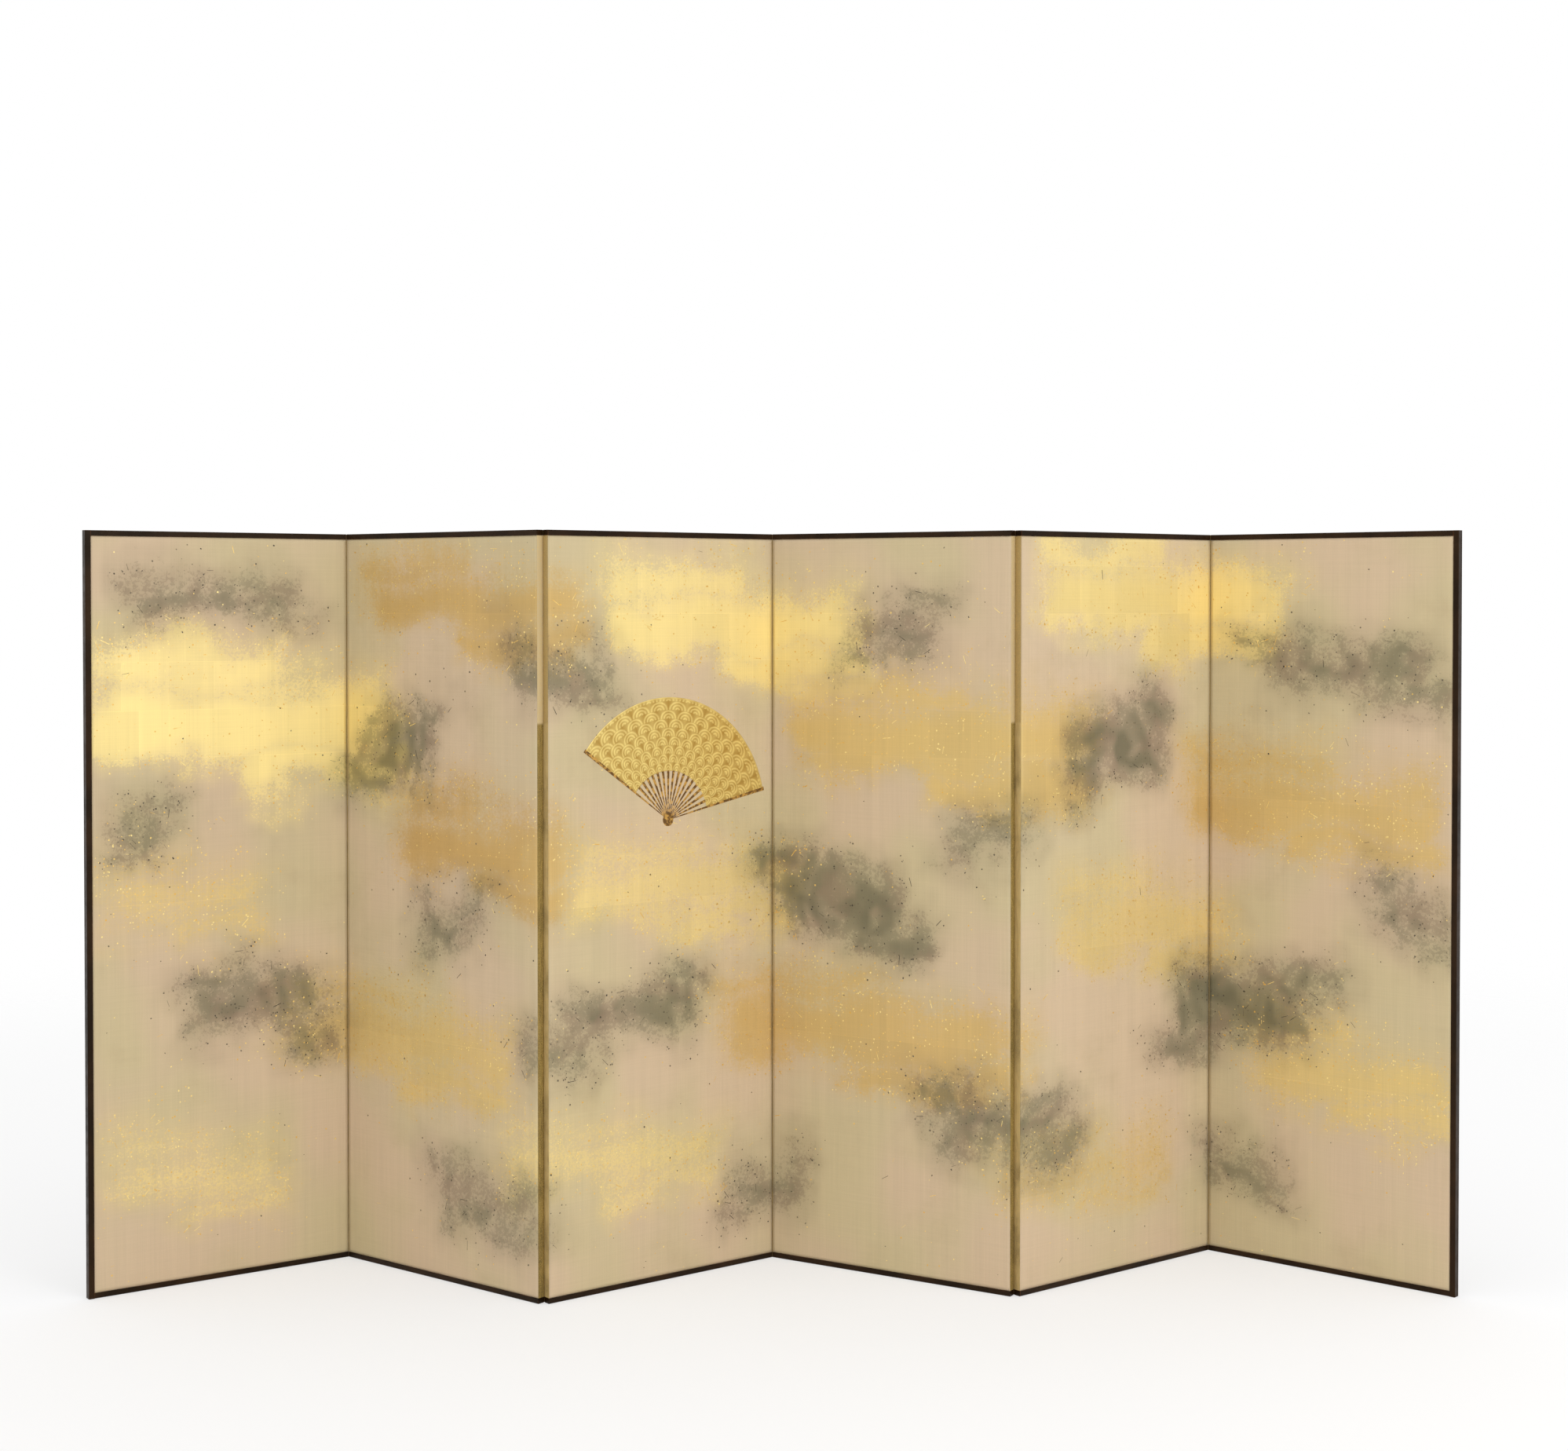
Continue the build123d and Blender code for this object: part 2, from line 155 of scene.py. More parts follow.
class Nodes:
    """A short way to write a node tree: each call adds a node and returns its output."""

    def __init__(self, tree):
        self.tree = tree

    def node(self, kind, inputs, output=0, **settings):
        made = self.tree.nodes.new(kind)
        for name, value in settings.items():
            setattr(made, name, value)
        for socket, value in inputs.items():
            self.feed(made.inputs[socket], value)
        return made.outputs[output]

    def feed(self, socket, value):
        if isinstance(value, bpy.types.NodeSocket):
            self.tree.links.new(value, socket)
        else:
            socket.default_value = value

    def rest_place(self):
        """A point's place in the frame at rest, which stays with the piece in every pose."""
        return self.node("ShaderNodeTexCoord", {}, "Object")

    def attribute(self, name, output="Fac"):
        return self.node("ShaderNodeAttribute", {}, output, attribute_name=name)

    def vector(self, operation, a, b=(0, 0, 0)):
        """A vector worked out from a and b, or a number for LENGTH and DOT_PRODUCT."""
        output = "Value" if operation in ("LENGTH", "DOT_PRODUCT") else "Vector"
        return self.node("ShaderNodeVectorMath", {0: a, 1: b}, output, operation=operation)

    def stretch(self, where, x, y, z=1.0):
        return self.vector("MULTIPLY", where, (x, y, z))

    def noise(self, where, scale, detail=2.0, roughness=0.5):
        inputs = {"Vector": where, "Scale": scale, "Detail": detail, "Roughness": roughness}
        return self.node("ShaderNodeTexNoise", inputs)

    def upright_fibres(self, across, up, detail=4.0, roughness=0.5):
        """Noise drawn out upwards, as paper fibres and the pores of wood are."""
        where = self.stretch(self.rest_place(), across, across, up)
        return self.noise(where, 1.0, detail, roughness)

    def cells(self, where, scale):
        """A random value for each of the small cells that fill the space."""
        colour = self.node("ShaderNodeTexVoronoi", {"Vector": where, "Scale": scale}, "Color")
        return self.node("ShaderNodeSeparateColor", {0: colour})

    def bricks(self, where, width, height, greys, overlap, softness, offset=0.5):
        """Sheets laid side by side, each in one of two greys, with a third where they overlap.
        offset is how far every other row is shifted, in widths."""
        first, second, between = ((grey, grey, grey, 1) for grey in greys)
        inputs = {"Vector": where, "Color1": first, "Color2": second, "Mortar": between}
        inputs |= {"Brick Width": width, "Row Height": height, "Scale": 1.0}
        inputs |= {"Mortar Size": overlap, "Mortar Smooth": softness}
        return self.node("ShaderNodeTexBrick", inputs, offset=offset)

    def part(self, vector, axis):
        return self.node("ShaderNodeSeparateXYZ", {0: vector}, axis)

    def math(self, operation, a, b=0.0):
        return self.node("ShaderNodeMath", {0: a, 1: b}, operation=operation)

    def span(self, value, low, high, to_low=0.0, to_high=1.0, kind="SMOOTHSTEP"):
        """value from low to high becomes to_low to to_high, and stays within them."""
        inputs = {0: value, 1: low, 2: high, 3: to_low, 4: to_high}
        return self.node("ShaderNodeMapRange", inputs, interpolation_type=kind)

    def add(self, first, *others):
        for other in others:
            first = self.math("ADD", first, other)
        return first

    def scaled(self, value, factor):
        return self.math("MULTIPLY", value, factor)

    def grey(self, level):
        return self.node("ShaderNodeCombineColor", {0: level, 1: level, 2: level})

    def mix(self, factor, a, b, blend="MIX"):
        inputs = {0: factor, 6: a, 7: b}
        return self.node("ShaderNodeMix", inputs, 2, data_type="RGBA", blend_type=blend)

    def bump(self, height, distance):
        return self.node("ShaderNodeBump", {"Height": height, "Distance": distance})

    def background_rays(self):
        """1 for rays that show the white background: straight, off gloss or through glass."""
        shown = self.node("ShaderNodeLightPath", {}, "Is Camera Ray")
        for kind in ("Is Glossy Ray", "Is Transmission Ray"):
            shown = self.math("MAXIMUM", shown, self.node("ShaderNodeLightPath", {}, kind))
        return shown


class Shader(Nodes):
    """A material, with the Principled surface that it starts from."""

    def __init__(self, name):
        self.material = bpy.data.materials.new(name)
        self.material.use_nodes = True
        super().__init__(self.material.node_tree)
        self.surface = self.tree.nodes["Principled BSDF"]

    def set(self, **values):
        """Feeds the surface's sockets, as in set(base_color=..., roughness=...)."""
        for name, value in values.items():
            title = " ".join(word.capitalize() for word in name.split("_")).replace("Ior", "IOR")
            self.feed(self.surface.inputs[title], value)


# -------------------- the decoration

# Bands of gold mist: middle, length and height on the unfolded screen, tone from pale to deep,
# and how thickly the gold is strewn.
Mist = namedtuple("Mist", "s z length height tone strewn")
MISTS = (
    Mist(0.40, 1.28, 0.82, 0.20, 0.05, 1.00),
    Mist(1.00, 1.55, 0.66, 0.15, 0.75, 0.85),
    Mist(0.20, 0.88, 0.42, 0.14, 0.50, 0.60),
    Mist(1.05, 1.00, 0.50, 0.16, 0.85, 0.85),
    Mist(0.82, 0.54, 0.74, 0.15, 0.55, 0.75),
    Mist(1.74, 1.50, 0.72, 0.16, 0.10, 0.95),
    Mist(1.62, 0.90, 0.66, 0.13, 0.35, 0.75),
    Mist(2.34, 1.24, 0.80, 0.17, 0.60, 0.90),
    Mist(2.10, 0.56, 0.80, 0.15, 0.70, 0.80),
    Mist(2.94, 1.56, 0.76, 0.15, 0.20, 0.95),
    Mist(3.38, 1.08, 0.68, 0.15, 0.65, 0.85),
    Mist(2.90, 0.80, 0.54, 0.15, 0.45, 0.70),
    Mist(1.42, 0.29, 0.58, 0.12, 0.30, 0.60),
    Mist(3.48, 0.46, 0.50, 0.15, 0.50, 0.80),
    Mist(0.24, 0.25, 0.44, 0.12, 0.30, 0.55),
    Mist(2.72, 0.26, 0.54, 0.11, 0.60, 0.60),
)
MIST_EDGE = 0.155  # the width over which a mist thins out
MIST_EDGE_CHANGE = 0.045  # more above a mist, less below it
MIST_EDGE_TURN = 0.3  # how near the mist's middle height that changes, in heights
MIST_STEP = 0.22, -0.60  # to its lobe on the right, in lengths and heights
MIST_LOBE = 0.58  # a lobe's share of its length and height

# Drifts of silver leaf that has tarnished to a grey brown.
Drift = namedtuple("Drift", "s z length height strewn")
DRIFTS = (
    Drift(0.30, 1.56, 0.40, 0.11, 0.85),
    Drift(0.80, 1.22, 0.30, 0.17, 0.95),
    Drift(0.40, 0.62, 0.34, 0.15, 0.95),
    Drift(0.96, 0.82, 0.20, 0.13, 0.85),
    Drift(1.28, 1.40, 0.28, 0.13, 0.90),
    Drift(1.46, 0.62, 0.42, 0.13, 0.95),
    Drift(2.04, 0.86, 0.40, 0.18, 1.00),
    Drift(2.20, 1.48, 0.26, 0.12, 0.85),
    Drift(1.06, 0.20, 0.30, 0.13, 0.80),
    Drift(2.44, 1.03, 0.18, 0.13, 0.80),
    Drift(2.46, 0.38, 0.36, 0.15, 0.90),
    Drift(2.82, 1.22, 0.30, 0.19, 1.00),
    Drift(3.46, 1.40, 0.46, 0.13, 0.90),
    Drift(3.20, 0.60, 0.44, 0.17, 1.00),
    Drift(3.64, 0.84, 0.22, 0.14, 0.80),
    Drift(1.86, 0.18, 0.20, 0.13, 0.80),
    Drift(3.22, 0.20, 0.22, 0.12, 0.85),
    Drift(0.12, 1.03, 0.17, 0.13, 0.80),
)
DRIFT_STEPS = (0.34, -0.42), (0.34, 0.42)  # down for one drift, up for the next
DRIFT_LOBE = 0.55
DRIFT_EDGE = 0.165  # the width over which a drift thins out
DRIFT_STRAY_FROM = 1.0  # a drift strays as a mist this far along the screen would
DRIFT_MOTTLE, MOTTLE_LENGTH = 0.13, 0.085  # how unevenly a drift lies, and over what length
MOTTLE_RANGE = -1.5, 1

WANDER, WANDER_LENGTH = 0.022, 0.30  # how far the outlines stray, and over what length
FINE_WANDER, FINE_WANDER_LENGTH = 0.009, 0.085
WAVE_COUNT = 14
WAVE_SPREAD = 0.6, 1.7  # of the wave numbers, round the one that is asked for


def random_waves(seed, wavelength):
    """A smooth random height, mostly between -1 and 1, over the unfolded screen."""
    random = np.random.default_rng(seed)
    angles, phases = random.uniform(0, math.tau, (2, WAVE_COUNT))
    numbers = math.tau / wavelength * random.uniform(*WAVE_SPREAD, WAVE_COUNT)

    def height(s, z):
        total = np.zeros(np.broadcast(s, z).shape)
        for angle, phase, number in zip(angles, phases, numbers):
            total += np.cos(number * (s * math.cos(angle) + z * math.sin(angle)) + phase)
        return total / math.sqrt(WAVE_COUNT)

    return height


STRAYS = [
    (size, random_waves(seed, length), random_waves(seed + 1, length))
    for seed, size, length in (
        (11, WANDER, WANDER_LENGTH),
        (13, FINE_WANDER, FINE_WANDER_LENGTH),
    )
]
MOTTLE = random_waves(31, MOTTLE_LENGTH)


def strayed(s, z):
    """The places moved a little at random, which breaks up the outlines drawn over them."""
    ds = sum(size * across(s, z) for size, across, _ in STRAYS)
    dz = sum(size * up(s, z) for size, _, up in STRAYS)
    return s + ds, z + dz


def eased(share):
    """The share within 0 and 1, with a soft start and a soft end."""
    share = np.clip(share, 0, 1)
    return share * share * (3 - 2 * share)


def band(s, z, middle_s, middle_z, length, height, edge):
    """1 inside a band with round ends, and 0 outside its edge."""
    radius = height / 2
    over = np.maximum(np.abs(s - middle_s) - (length / 2 - radius), 0)
    outside = np.hypot(over, z - middle_z) - radius
    return eased(0.5 - outside / edge)


def lobed_band(s, z, patch, step, lobe, edge):
    """A mist's or a drift's band with two smaller ones that overlap it: one is a step away, and
    the other as far on the opposite side."""
    here = band(s, z, patch.s, patch.z, patch.length, patch.height, edge)
    for side in (-1, 1):
        lobe_s = patch.s + side * patch.length * step[0]
        lobe_z = patch.z + side * patch.height * step[1]
        size = patch.length * lobe, patch.height * lobe
        here = np.maximum(here, band(s, z, lobe_s, lobe_z, *size, edge))
    return here


def gold_and_tone(s, z):
    """How thick the gold lies at each place, and how deep its tone is."""
    s, z = strayed(s, z)
    gold = np.zeros(s.shape)
    # These start just over nothing, which gives bare silk the middle tone.
    weight, tone = np.full(s.shape, 1e-6), np.full(s.shape, 5e-7)
    for mist in MISTS:
        above = (z - mist.z) / (MIST_EDGE_TURN * mist.height)
        edge = MIST_EDGE + MIST_EDGE_CHANGE * np.tanh(above)
        here = lobed_band(s, z, mist, MIST_STEP, MIST_LOBE, edge)
        gold = np.maximum(gold, here * mist.strewn)
        weight += here
        tone += here * mist.tone
    return gold, tone / weight


def silver_thickness(s, z):
    """How thick the silver lies at each place."""
    s, z = strayed(s + DRIFT_STRAY_FROM, z)
    s = s - DRIFT_STRAY_FROM
    silver = np.zeros(s.shape)
    for drift, step in zip(DRIFTS, cycle(DRIFT_STEPS)):
        here = lobed_band(s, z, drift, step, DRIFT_LOBE, DRIFT_EDGE)
        silver = np.maximum(silver, here * drift.strewn)
    return silver * (1 - DRIFT_MOTTLE + DRIFT_MOTTLE * np.clip(MOTTLE(s, z), *MOTTLE_RANGE))


# -------------------- sheets

SHEET_GRID = 0.008
COCKLE = 0.00022  # how far a pasted sheet swells at most between its edges
COCKLE_LENGTH = 0.32
COCKLE_STEADY = 0.6  # the share of it that doesn't change from place to place
COCKLE_MARGIN = 0.05  # how far in from an edge it reaches its full height
SWELL = random_waves(21, COCKLE_LENGTH)


def cockle(panel, u, z):
    """How far a sheet stands off its lining, which is nothing along its edges."""
    from_sides = np.minimum(u, panel.width - u)
    from_ends = np.minimum(z - panel.bottom, panel.top - z)
    room = np.clip(np.minimum(from_sides, from_ends) / COCKLE_MARGIN, 0, 1)
    swell = np.clip(SWELL(panel.start + u, z), -1, 1)
    return COCKLE * room * (COCKLE_STEADY + (1 - COCKLE_STEADY) * swell)


def new_object(name, data):
    made = bpy.data.objects.new(name, data)
    bpy.context.scene.collection.objects.link(made)
    return made


def new_piece(name, points, faces, material, slot=None, body=None, smooth=True):
    """A mesh object with the material, which rides on the body where one is named. Its slot is not
    used.
    """
    mesh = bpy.data.meshes.new(name)
    mesh.from_pydata([tuple(point) for point in points], [], faces)
    mesh.validate()
    mesh.polygons.foreach_set("use_smooth", [smooth] * len(mesh.polygons))
    mesh.materials.append(material)
    piece = new_object(name, mesh)
    if body:
        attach(piece, body)
    return piece


def write_attribute(piece, name, values, kind="FLOAT"):
    """A value, or a vector for FLOAT_VECTOR, at each point for the piece's material to read."""
    attribute = piece.data.attributes.new(name, kind, "POINT")
    key = "value" if kind == "FLOAT" else "vector"
    attribute.data.foreach_set(key, np.asarray(values, np.float32).ravel())


def grid_faces(columns, rows, flip):
    """The faces of a grid whose points run along its columns first."""
    faces = []
    for row in range(rows - 1):
        for column in range(columns - 1):
            a = row * columns + column
            face = (a, a + 1, a + columns + 1, a + columns)
            faces.append(face[::-1] if flip else face)
    return faces


def border_of(columns, rows):
    """The grid's outermost points, in their order round it."""
    return np.r_[
        np.arange(columns),
        np.arange(2, rows) * columns - 1,
        np.arange(rows * columns - 1, (rows - 1) * columns - 1, -1),
        np.arange(rows - 2, 0, -1) * columns,
    ]


def make_sheet(panel, name, in_front, material, slot, replaced):
    """A pasted sheet: a finely divided outside and narrow edges that reach back to the lining."""
    columns = round(panel.width / SHEET_GRID) + 1
    rows = round(panel.height / SHEET_GRID) + 1
    us = np.linspace(0, panel.width, columns)
    zs = np.linspace(panel.bottom, panel.top, rows)
    # The first and the last column and row are the sheet's thickness.
    us, zs = np.r_[us[0], us, us[-1]], np.r_[zs[0], zs, zs[-1]]
    u, z = np.meshgrid(us, zs)
    rim = np.zeros(u.shape, bool)
    rim[[0, -1], :] = rim[:, [0, -1]] = True
    if in_front:
        v = np.where(rim, panel.face_thickness, -cockle(panel, u, z))
    else:
        v = np.where(rim, panel.back - panel.back_thickness, panel.back + cockle(panel, u, z))
    points = panel.place(u, v, z).reshape(-1, 3)
    faces = grid_faces(len(us), len(zs), flip=not in_front)
    underside = border_of(len(us), len(zs))
    faces.append(tuple(underside[::-1] if in_front else underside))
    sheet = new_piece(f"{panel.body}_{name}", points, faces, material, slot, panel.body)
    s = panel.start + u
    write_attribute(sheet, "unfolded", np.stack((s, z, np.zeros(s.shape)), -1), "FLOAT_VECTOR")
    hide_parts(f"{panel.body}_{replaced}")
    return sheet, s, z


def make_painted_silk(panel):
    looks = painted_silk(), "painted_silk"
    sheet, s, z = make_sheet(panel, "painted_silk", True, *looks, replaced="painted_face")
    gold, tone = gold_and_tone(s, z)
    write_attribute(sheet, "gold", gold)
    write_attribute(sheet, "tone", tone)
    write_attribute(sheet, "silver", silver_thickness(s, z))


def make_back_sheet(panel):
    looks = printed_paper(), "back_paper"
    make_sheet(panel, "printed_back", False, *looks, replaced="back_paper")


# -------------------- fold lines

# The thin line of paper at the pivot that runs on from one panel's strips to the other's, in
# the clearance in front of their ends: where it ends and starts to turn on each side of the
# pivot, and how deep its two faces lie there and at the pivot.
CREASE_END, CREASE_TURN = 0.00045, 0.00015
CREASE_OUTSIDE, CREASE_INSIDE = 0.00004, 0.00012
CREASE_MIDDLE = 0.00004
CREASE_SHORT = 0.0005  # between its ends and the screen's: it closes the rails' slit as well


def make_crease(joint, left, right):
    """The paper turned round at a fold line, in front of the panels or behind them."""
    pivot = np.array(joint["pos_m"])
    in_front = pivot @ left.behind < left.front + 0.5 * left.back
    side = 1 if in_front else -1
    inward = (left.behind + right.behind) * side
    inward = inward / np.linalg.norm(inward)
    lines = []
    for depth, middle in ((CREASE_OUTSIDE, -CREASE_MIDDLE), (CREASE_INSIDE, CREASE_MIDDLE)):
        onto_left, onto_right = depth * side * left.behind, depth * side * right.behind
        lines.append([
            pivot - CREASE_END * left.along + onto_left,
            pivot - CREASE_TURN * left.along + onto_left,
            pivot + middle * inward,
            pivot + CREASE_TURN * right.along + onto_right,
            pivot + CREASE_END * right.along + onto_right,
        ])
    outside, inside = lines
    outline = outside + inside[::-1]
    heights = CAD_BOX[0].z + CREASE_SHORT, CAD_BOX[1].z - CREASE_SHORT
    points = [point + (0, 0, z) for z in heights for point in outline]
    count = len(outline)
    faces = [(i, (i + 1) % count, count + (i + 1) % count, count + i) for i in range(count)]
    quads = [(i, i + 1, count - 2 - i, count - 1 - i) for i in range(count // 2 - 1)]
    faces += [quad[::-1] for quad in quads]
    faces += [tuple(count + i for i in quad) for quad in quads]
    # The crease paper is painted dark: painted shade at the fold line.
    looks = crease_shade_paper(), "hinge_paper"
    crease = new_piece(f"{joint['name']}_crease_paper", points, faces, *looks, smooth=False)
    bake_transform(crease)


# A slip of paper inside the thickness of the strips along a panel's edge, which closes the slits
# between one strip and the next.
SLIP_NEAR, SLIP_FAR = 0.00005, 0.00020  # how far its two faces are from the core's edge
SLIP_INSIDE = 0.00020  # between it and the fold line
SLIP_SHORT = 0.0002  # between its ends and the rails


def make_slip(fold_side, panel, pivot):
    """A slip that reaches from the lining away from the fold line to just before that line."""
    to_pivot = pivot @ panel.behind - panel.front
    if to_pivot > panel.back:
        vs = panel.face_thickness, to_pivot - SLIP_INSIDE
    else:
        vs = to_pivot + SLIP_INSIDE, panel.back - panel.back_thickness
    us = -SLIP_FAR, -SLIP_NEAR
    if fold_side.endswith("left"):
        us = panel.width + SLIP_NEAR, panel.width + SLIP_FAR
    zs = panel.bottom + SLIP_SHORT, panel.top - SLIP_SHORT
    points = [panel.place(u, v, z) for z in zs for v in vs for u in us]
    faces = ((0, 2, 3, 1), (4, 5, 7, 6), (0, 1, 5, 4), (2, 6, 7, 3), (0, 4, 6, 2), (1, 3, 7, 5))
    looks = papers_of(fold_side), "hinge_paper"
    new_piece(f"{fold_side}_slip", points, faces, *looks, panel.body, smooth=False)


# -------------------- sprinkled leaf

# Chips of leaf: small flecks, which are nearly square, and thin needles.
FLECK_LENGTHS, FLECK_SQUARENESS = (0.0016, 0.0040), (0.6, 1.0)
NEEDLE_LENGTHS, NEEDLE_WIDTH = (0.009, 0.022), 0.0008
GOLD_FLECKS_PER_PANEL, GOLD_NEEDLES_PER_PANEL = 1500, 80
SILVER_FLECKS_PER_PANEL, SILVER_NEEDLES_PER_PANEL = 420, 24
CHIP_RISE, CHIP_SINK = 0.00008, 0.00010  # a chip's front over the silk, and its back below it
CHIP_MARGIN = 0.002  # between a chip and the edge of the silk
CHIP_THROWS = 12  # places tried for each chip that is wanted
CHIP_SEED = 100

# The share of the throws that is kept: on bare silk, and how it grows with the leaf's thickness.
GOLD_ON_BARE, GOLD_ON_MIST = 0.02, 1.8
GOLD_THICKEST = 1.05  # the gold mist's thickness at which it would be back to GOLD_ON_BARE
GOLD_OFF_DRIFTS = 0.8  # the share that the silver takes away
SILVER_ON_BARE, SILVER_ON_DRIFT = 0.01, 0.9


def gold_chips_kept(s, z):
    gold, _ = gold_and_tone(s, z)
    bare_of_silver = 1 - GOLD_OFF_DRIFTS * silver_thickness(s, z)
    return (GOLD_ON_BARE + GOLD_ON_MIST * gold * (GOLD_THICKEST - gold)) * bare_of_silver


def silver_chips_kept(s, z):
    return SILVER_ON_BARE + SILVER_ON_DRIFT * silver_thickness(s, z)


# A chip's corners, in lengths and widths, which its front and its back both have.
CHIP_CORNERS = ((-0.5, -0.5), (0.5, -0.5), (0.5, 0.5), (-0.5, 0.5))
CHIP_FACES = ((0, 1, 2, 3), (7, 6, 5, 4), (0, 4, 5, 1), (1, 5, 6, 2), (2, 6, 7, 3), (3, 7, 4, 0))


def scattered_chips(panel, count, share_kept, lengths, squareness, random):
    """The corners of thin flat chips on the silk, each turned at random. Their widths are a random
    share of their lengths, from squareness[0] to squareness[1]."""
    throws = CHIP_THROWS * count
    length = random.uniform(*lengths, throws)
    width = length * random.uniform(*squareness, throws)
    margin = CHIP_MARGIN + np.hypot(length, width) / 2
    u = margin + (panel.width - 2 * margin) * random.uniform(0, 1, throws)
    z = panel.bottom + margin + (panel.height - 2 * margin) * random.uniform(0, 1, throws)
    angle = random.uniform(0, math.tau, throws)
    kept = random.uniform(0, 1, throws) < share_kept(panel.start + u, z)
    u, z, angle, length, width = (each[kept][:count] for each in (u, z, angle, length, width))
    corners = []
    for depth in (-CHIP_RISE, CHIP_SINK):
        for end, side in CHIP_CORNERS:
            corner_u = u + end * length * np.cos(angle) - side * width * np.sin(angle)
            corner_z = z + end * length * np.sin(angle) + side * width * np.cos(angle)
            v = depth - cockle(panel, corner_u, corner_z)
            corners.append(panel.place(corner_u, v, corner_z))
    return np.stack(corners, 1).reshape(-1, 3)


def make_chips(panel, name, share_kept, flecks, needles, material):
    """One panel's chips of one metal: how many flecks and needles, at most."""
    random = np.random.default_rng(CHIP_SEED + panel.number)
    thin = [NEEDLE_WIDTH / length for length in reversed(NEEDLE_LENGTHS)]
    points = np.concatenate((
        scattered_chips(panel, flecks, share_kept, FLECK_LENGTHS, FLECK_SQUARENESS, random),
        scattered_chips(panel, needles, share_kept, NEEDLE_LENGTHS, thin, random),
    ))
    firsts = range(0, len(points), 2 * len(CHIP_CORNERS))
    faces = [tuple(first + corner for corner in face) for first in firsts for face in CHIP_FACES]
    new_piece(name, points, faces, material, "painted_silk", panel.body, smooth=False)


# -------------------- the fan in relief

FAN_PANEL = 3
FAN_PIVOT_U = 0.325
FAN_PIVOT_Z = 1.055
FAN_LEAN = math.radians(12)  # its middle line from upright, clockwise
FAN_OPENING = math.radians(132)
FAN_PLEATS = 17
FAN_HEIGHT = 0.00085  # highest point over the silk, under the rails' front
FAN_FOOT = 0.0002  # how far its pieces reach into the silk

LEAF_IN, LEAF_OUT = 0.112, 0.280  # the leaf's two radii
LEAF_RIM = 0.005  # how wide its outer edge is raised
LEAF_STEPS, PLEAT_STEPS = 110, 16  # along a radius, and across each pleat
# The parts of its height: all over, in its folds, in the wave scales and on its rim.
LEAF_BASE, FOLD_RELIEF, WAVE_RELIEF, RIM_RELIEF = 0.45, 0.45, 0.35, 0.30
SCALE_WIDTH = 0.040  # of the wave scales pressed into the leaf
SCALE_RINGS = 3
SCALE_LOW = -0.02  # how far a scale reaches below its own middle, in widths

STICK_IN = 0.012  # the radius at which sticks and guards start
STICK_UNDER_LEAF, GUARD_PAST_LEAF = 0.002, 0.003
STICK_HALF_IN, STICK_HALF_OUT, GUARD_HALF_OUT = 0.0010, 0.0040, 0.0048  # half widths
STICK_HEIGHT = 0.6 * FAN_HEIGHT
STICK_FLAT = 0.7  # the share of a stick's width that isn't bevelled
STICK_STEPS = 8
BOSS_STEPS = 36
# Radius and height of each ring of the boss, over its side and its flat to the rivet's head.
FAN_BOSS = (
    (0.0150, -FAN_FOOT),
    (0.0145, 0.62 * FAN_HEIGHT),
    (0.0060, 0.68 * FAN_HEIGHT),
    (0.0050, 0.95 * FAN_HEIGHT),
    (0.0030, FAN_HEIGHT),
)


def fan_point(panel, angle, radius, height):
    """A place on the fan: angle from its middle line, radius from its pivot."""
    turn = angle + FAN_LEAN
    u = FAN_PIVOT_U + radius * np.sin(turn)
    z = FAN_PIVOT_Z + radius * np.cos(turn)
    return panel.place(u, -height, z)


def wave_scales(angle, radius):
    """Rows of overlapping round scales, each with rings: a height from 0 to 1."""
    across = angle * (LEAF_IN + LEAF_OUT) / 2 / SCALE_WIDTH
    up = (radius - LEAF_IN) / (0.5 * SCALE_WIDTH)
    height = np.zeros(np.broadcast(across, up).shape)
    for row_offset in (2, 1, 0, -1):
        row = np.floor(up) + row_offset
        shift = np.where(row % 2 == 0, 0.0, 0.5)
        x = (across - shift) - np.round(across - shift)
        y = (up - row) * 0.5
        distance = np.hypot(x, y)
        inside = (distance < 0.5) & (y >= SCALE_LOW)
        rings = 0.5 - 0.5 * np.cos(distance * math.tau * SCALE_RINGS * 2)
        height = np.where(inside, rings, height)
    return height


def make_fan_leaf(panel):
    """The pleated leaf, with wave scales pressed into it and a rim along its outer edge."""
    columns = FAN_PLEATS * PLEAT_STEPS + 1
    angles = np.linspace(-FAN_OPENING / 2, FAN_OPENING / 2, columns)
    radii = np.linspace(LEAF_IN, LEAF_OUT, LEAF_STEPS)
    angle, radius = np.meshgrid(angles, radii)
    pleat = (angle + FAN_OPENING / 2) / FAN_OPENING * FAN_PLEATS
    fold = 1 - np.abs(2 * (pleat % 1) - 1)
    rim = np.clip(1 - (LEAF_OUT - radius) / LEAF_RIM, 0, 1)
    waves = wave_scales(angle, radius) * (1 - rim)
    relief = LEAF_BASE + FOLD_RELIEF * fold + WAVE_RELIEF * waves + RIM_RELIEF * rim
    height = FAN_HEIGHT * relief / (LEAF_BASE + FOLD_RELIEF + WAVE_RELIEF)
    points = fan_point(panel, angle, radius, height).reshape(-1, 3)
    border = border_of(columns, LEAF_STEPS)
    foot = fan_point(panel, angle.ravel()[border], radius.ravel()[border], -FAN_FOOT)
    faces = grid_faces(columns, LEAF_STEPS, flip=False)
    for i, top in enumerate(border):
        after = (i + 1) % len(border)
        faces.append((border[after], top, len(points) + i, len(points) + after))
    looks = raised_gold(), "painted_silk"
    leaf = new_piece("fan_leaf", np.concatenate((points, foot)), faces, *looks, panel.body)
    # fold and waves (with the rim) set where raised gold paints its highlight and its shade.
    for name, values in (("fold", fold), ("waves", np.maximum(waves, rim))):
        write_attribute(leaf, name, np.r_[values.ravel(), np.zeros(len(border))])
    unfolded = np.stack((angle * radius, radius, np.zeros(radius.shape)), -1).reshape(-1, 3)
    write_attribute(leaf, "unfolded", np.r_[unfolded, unfolded[border]], "FLOAT_VECTOR")


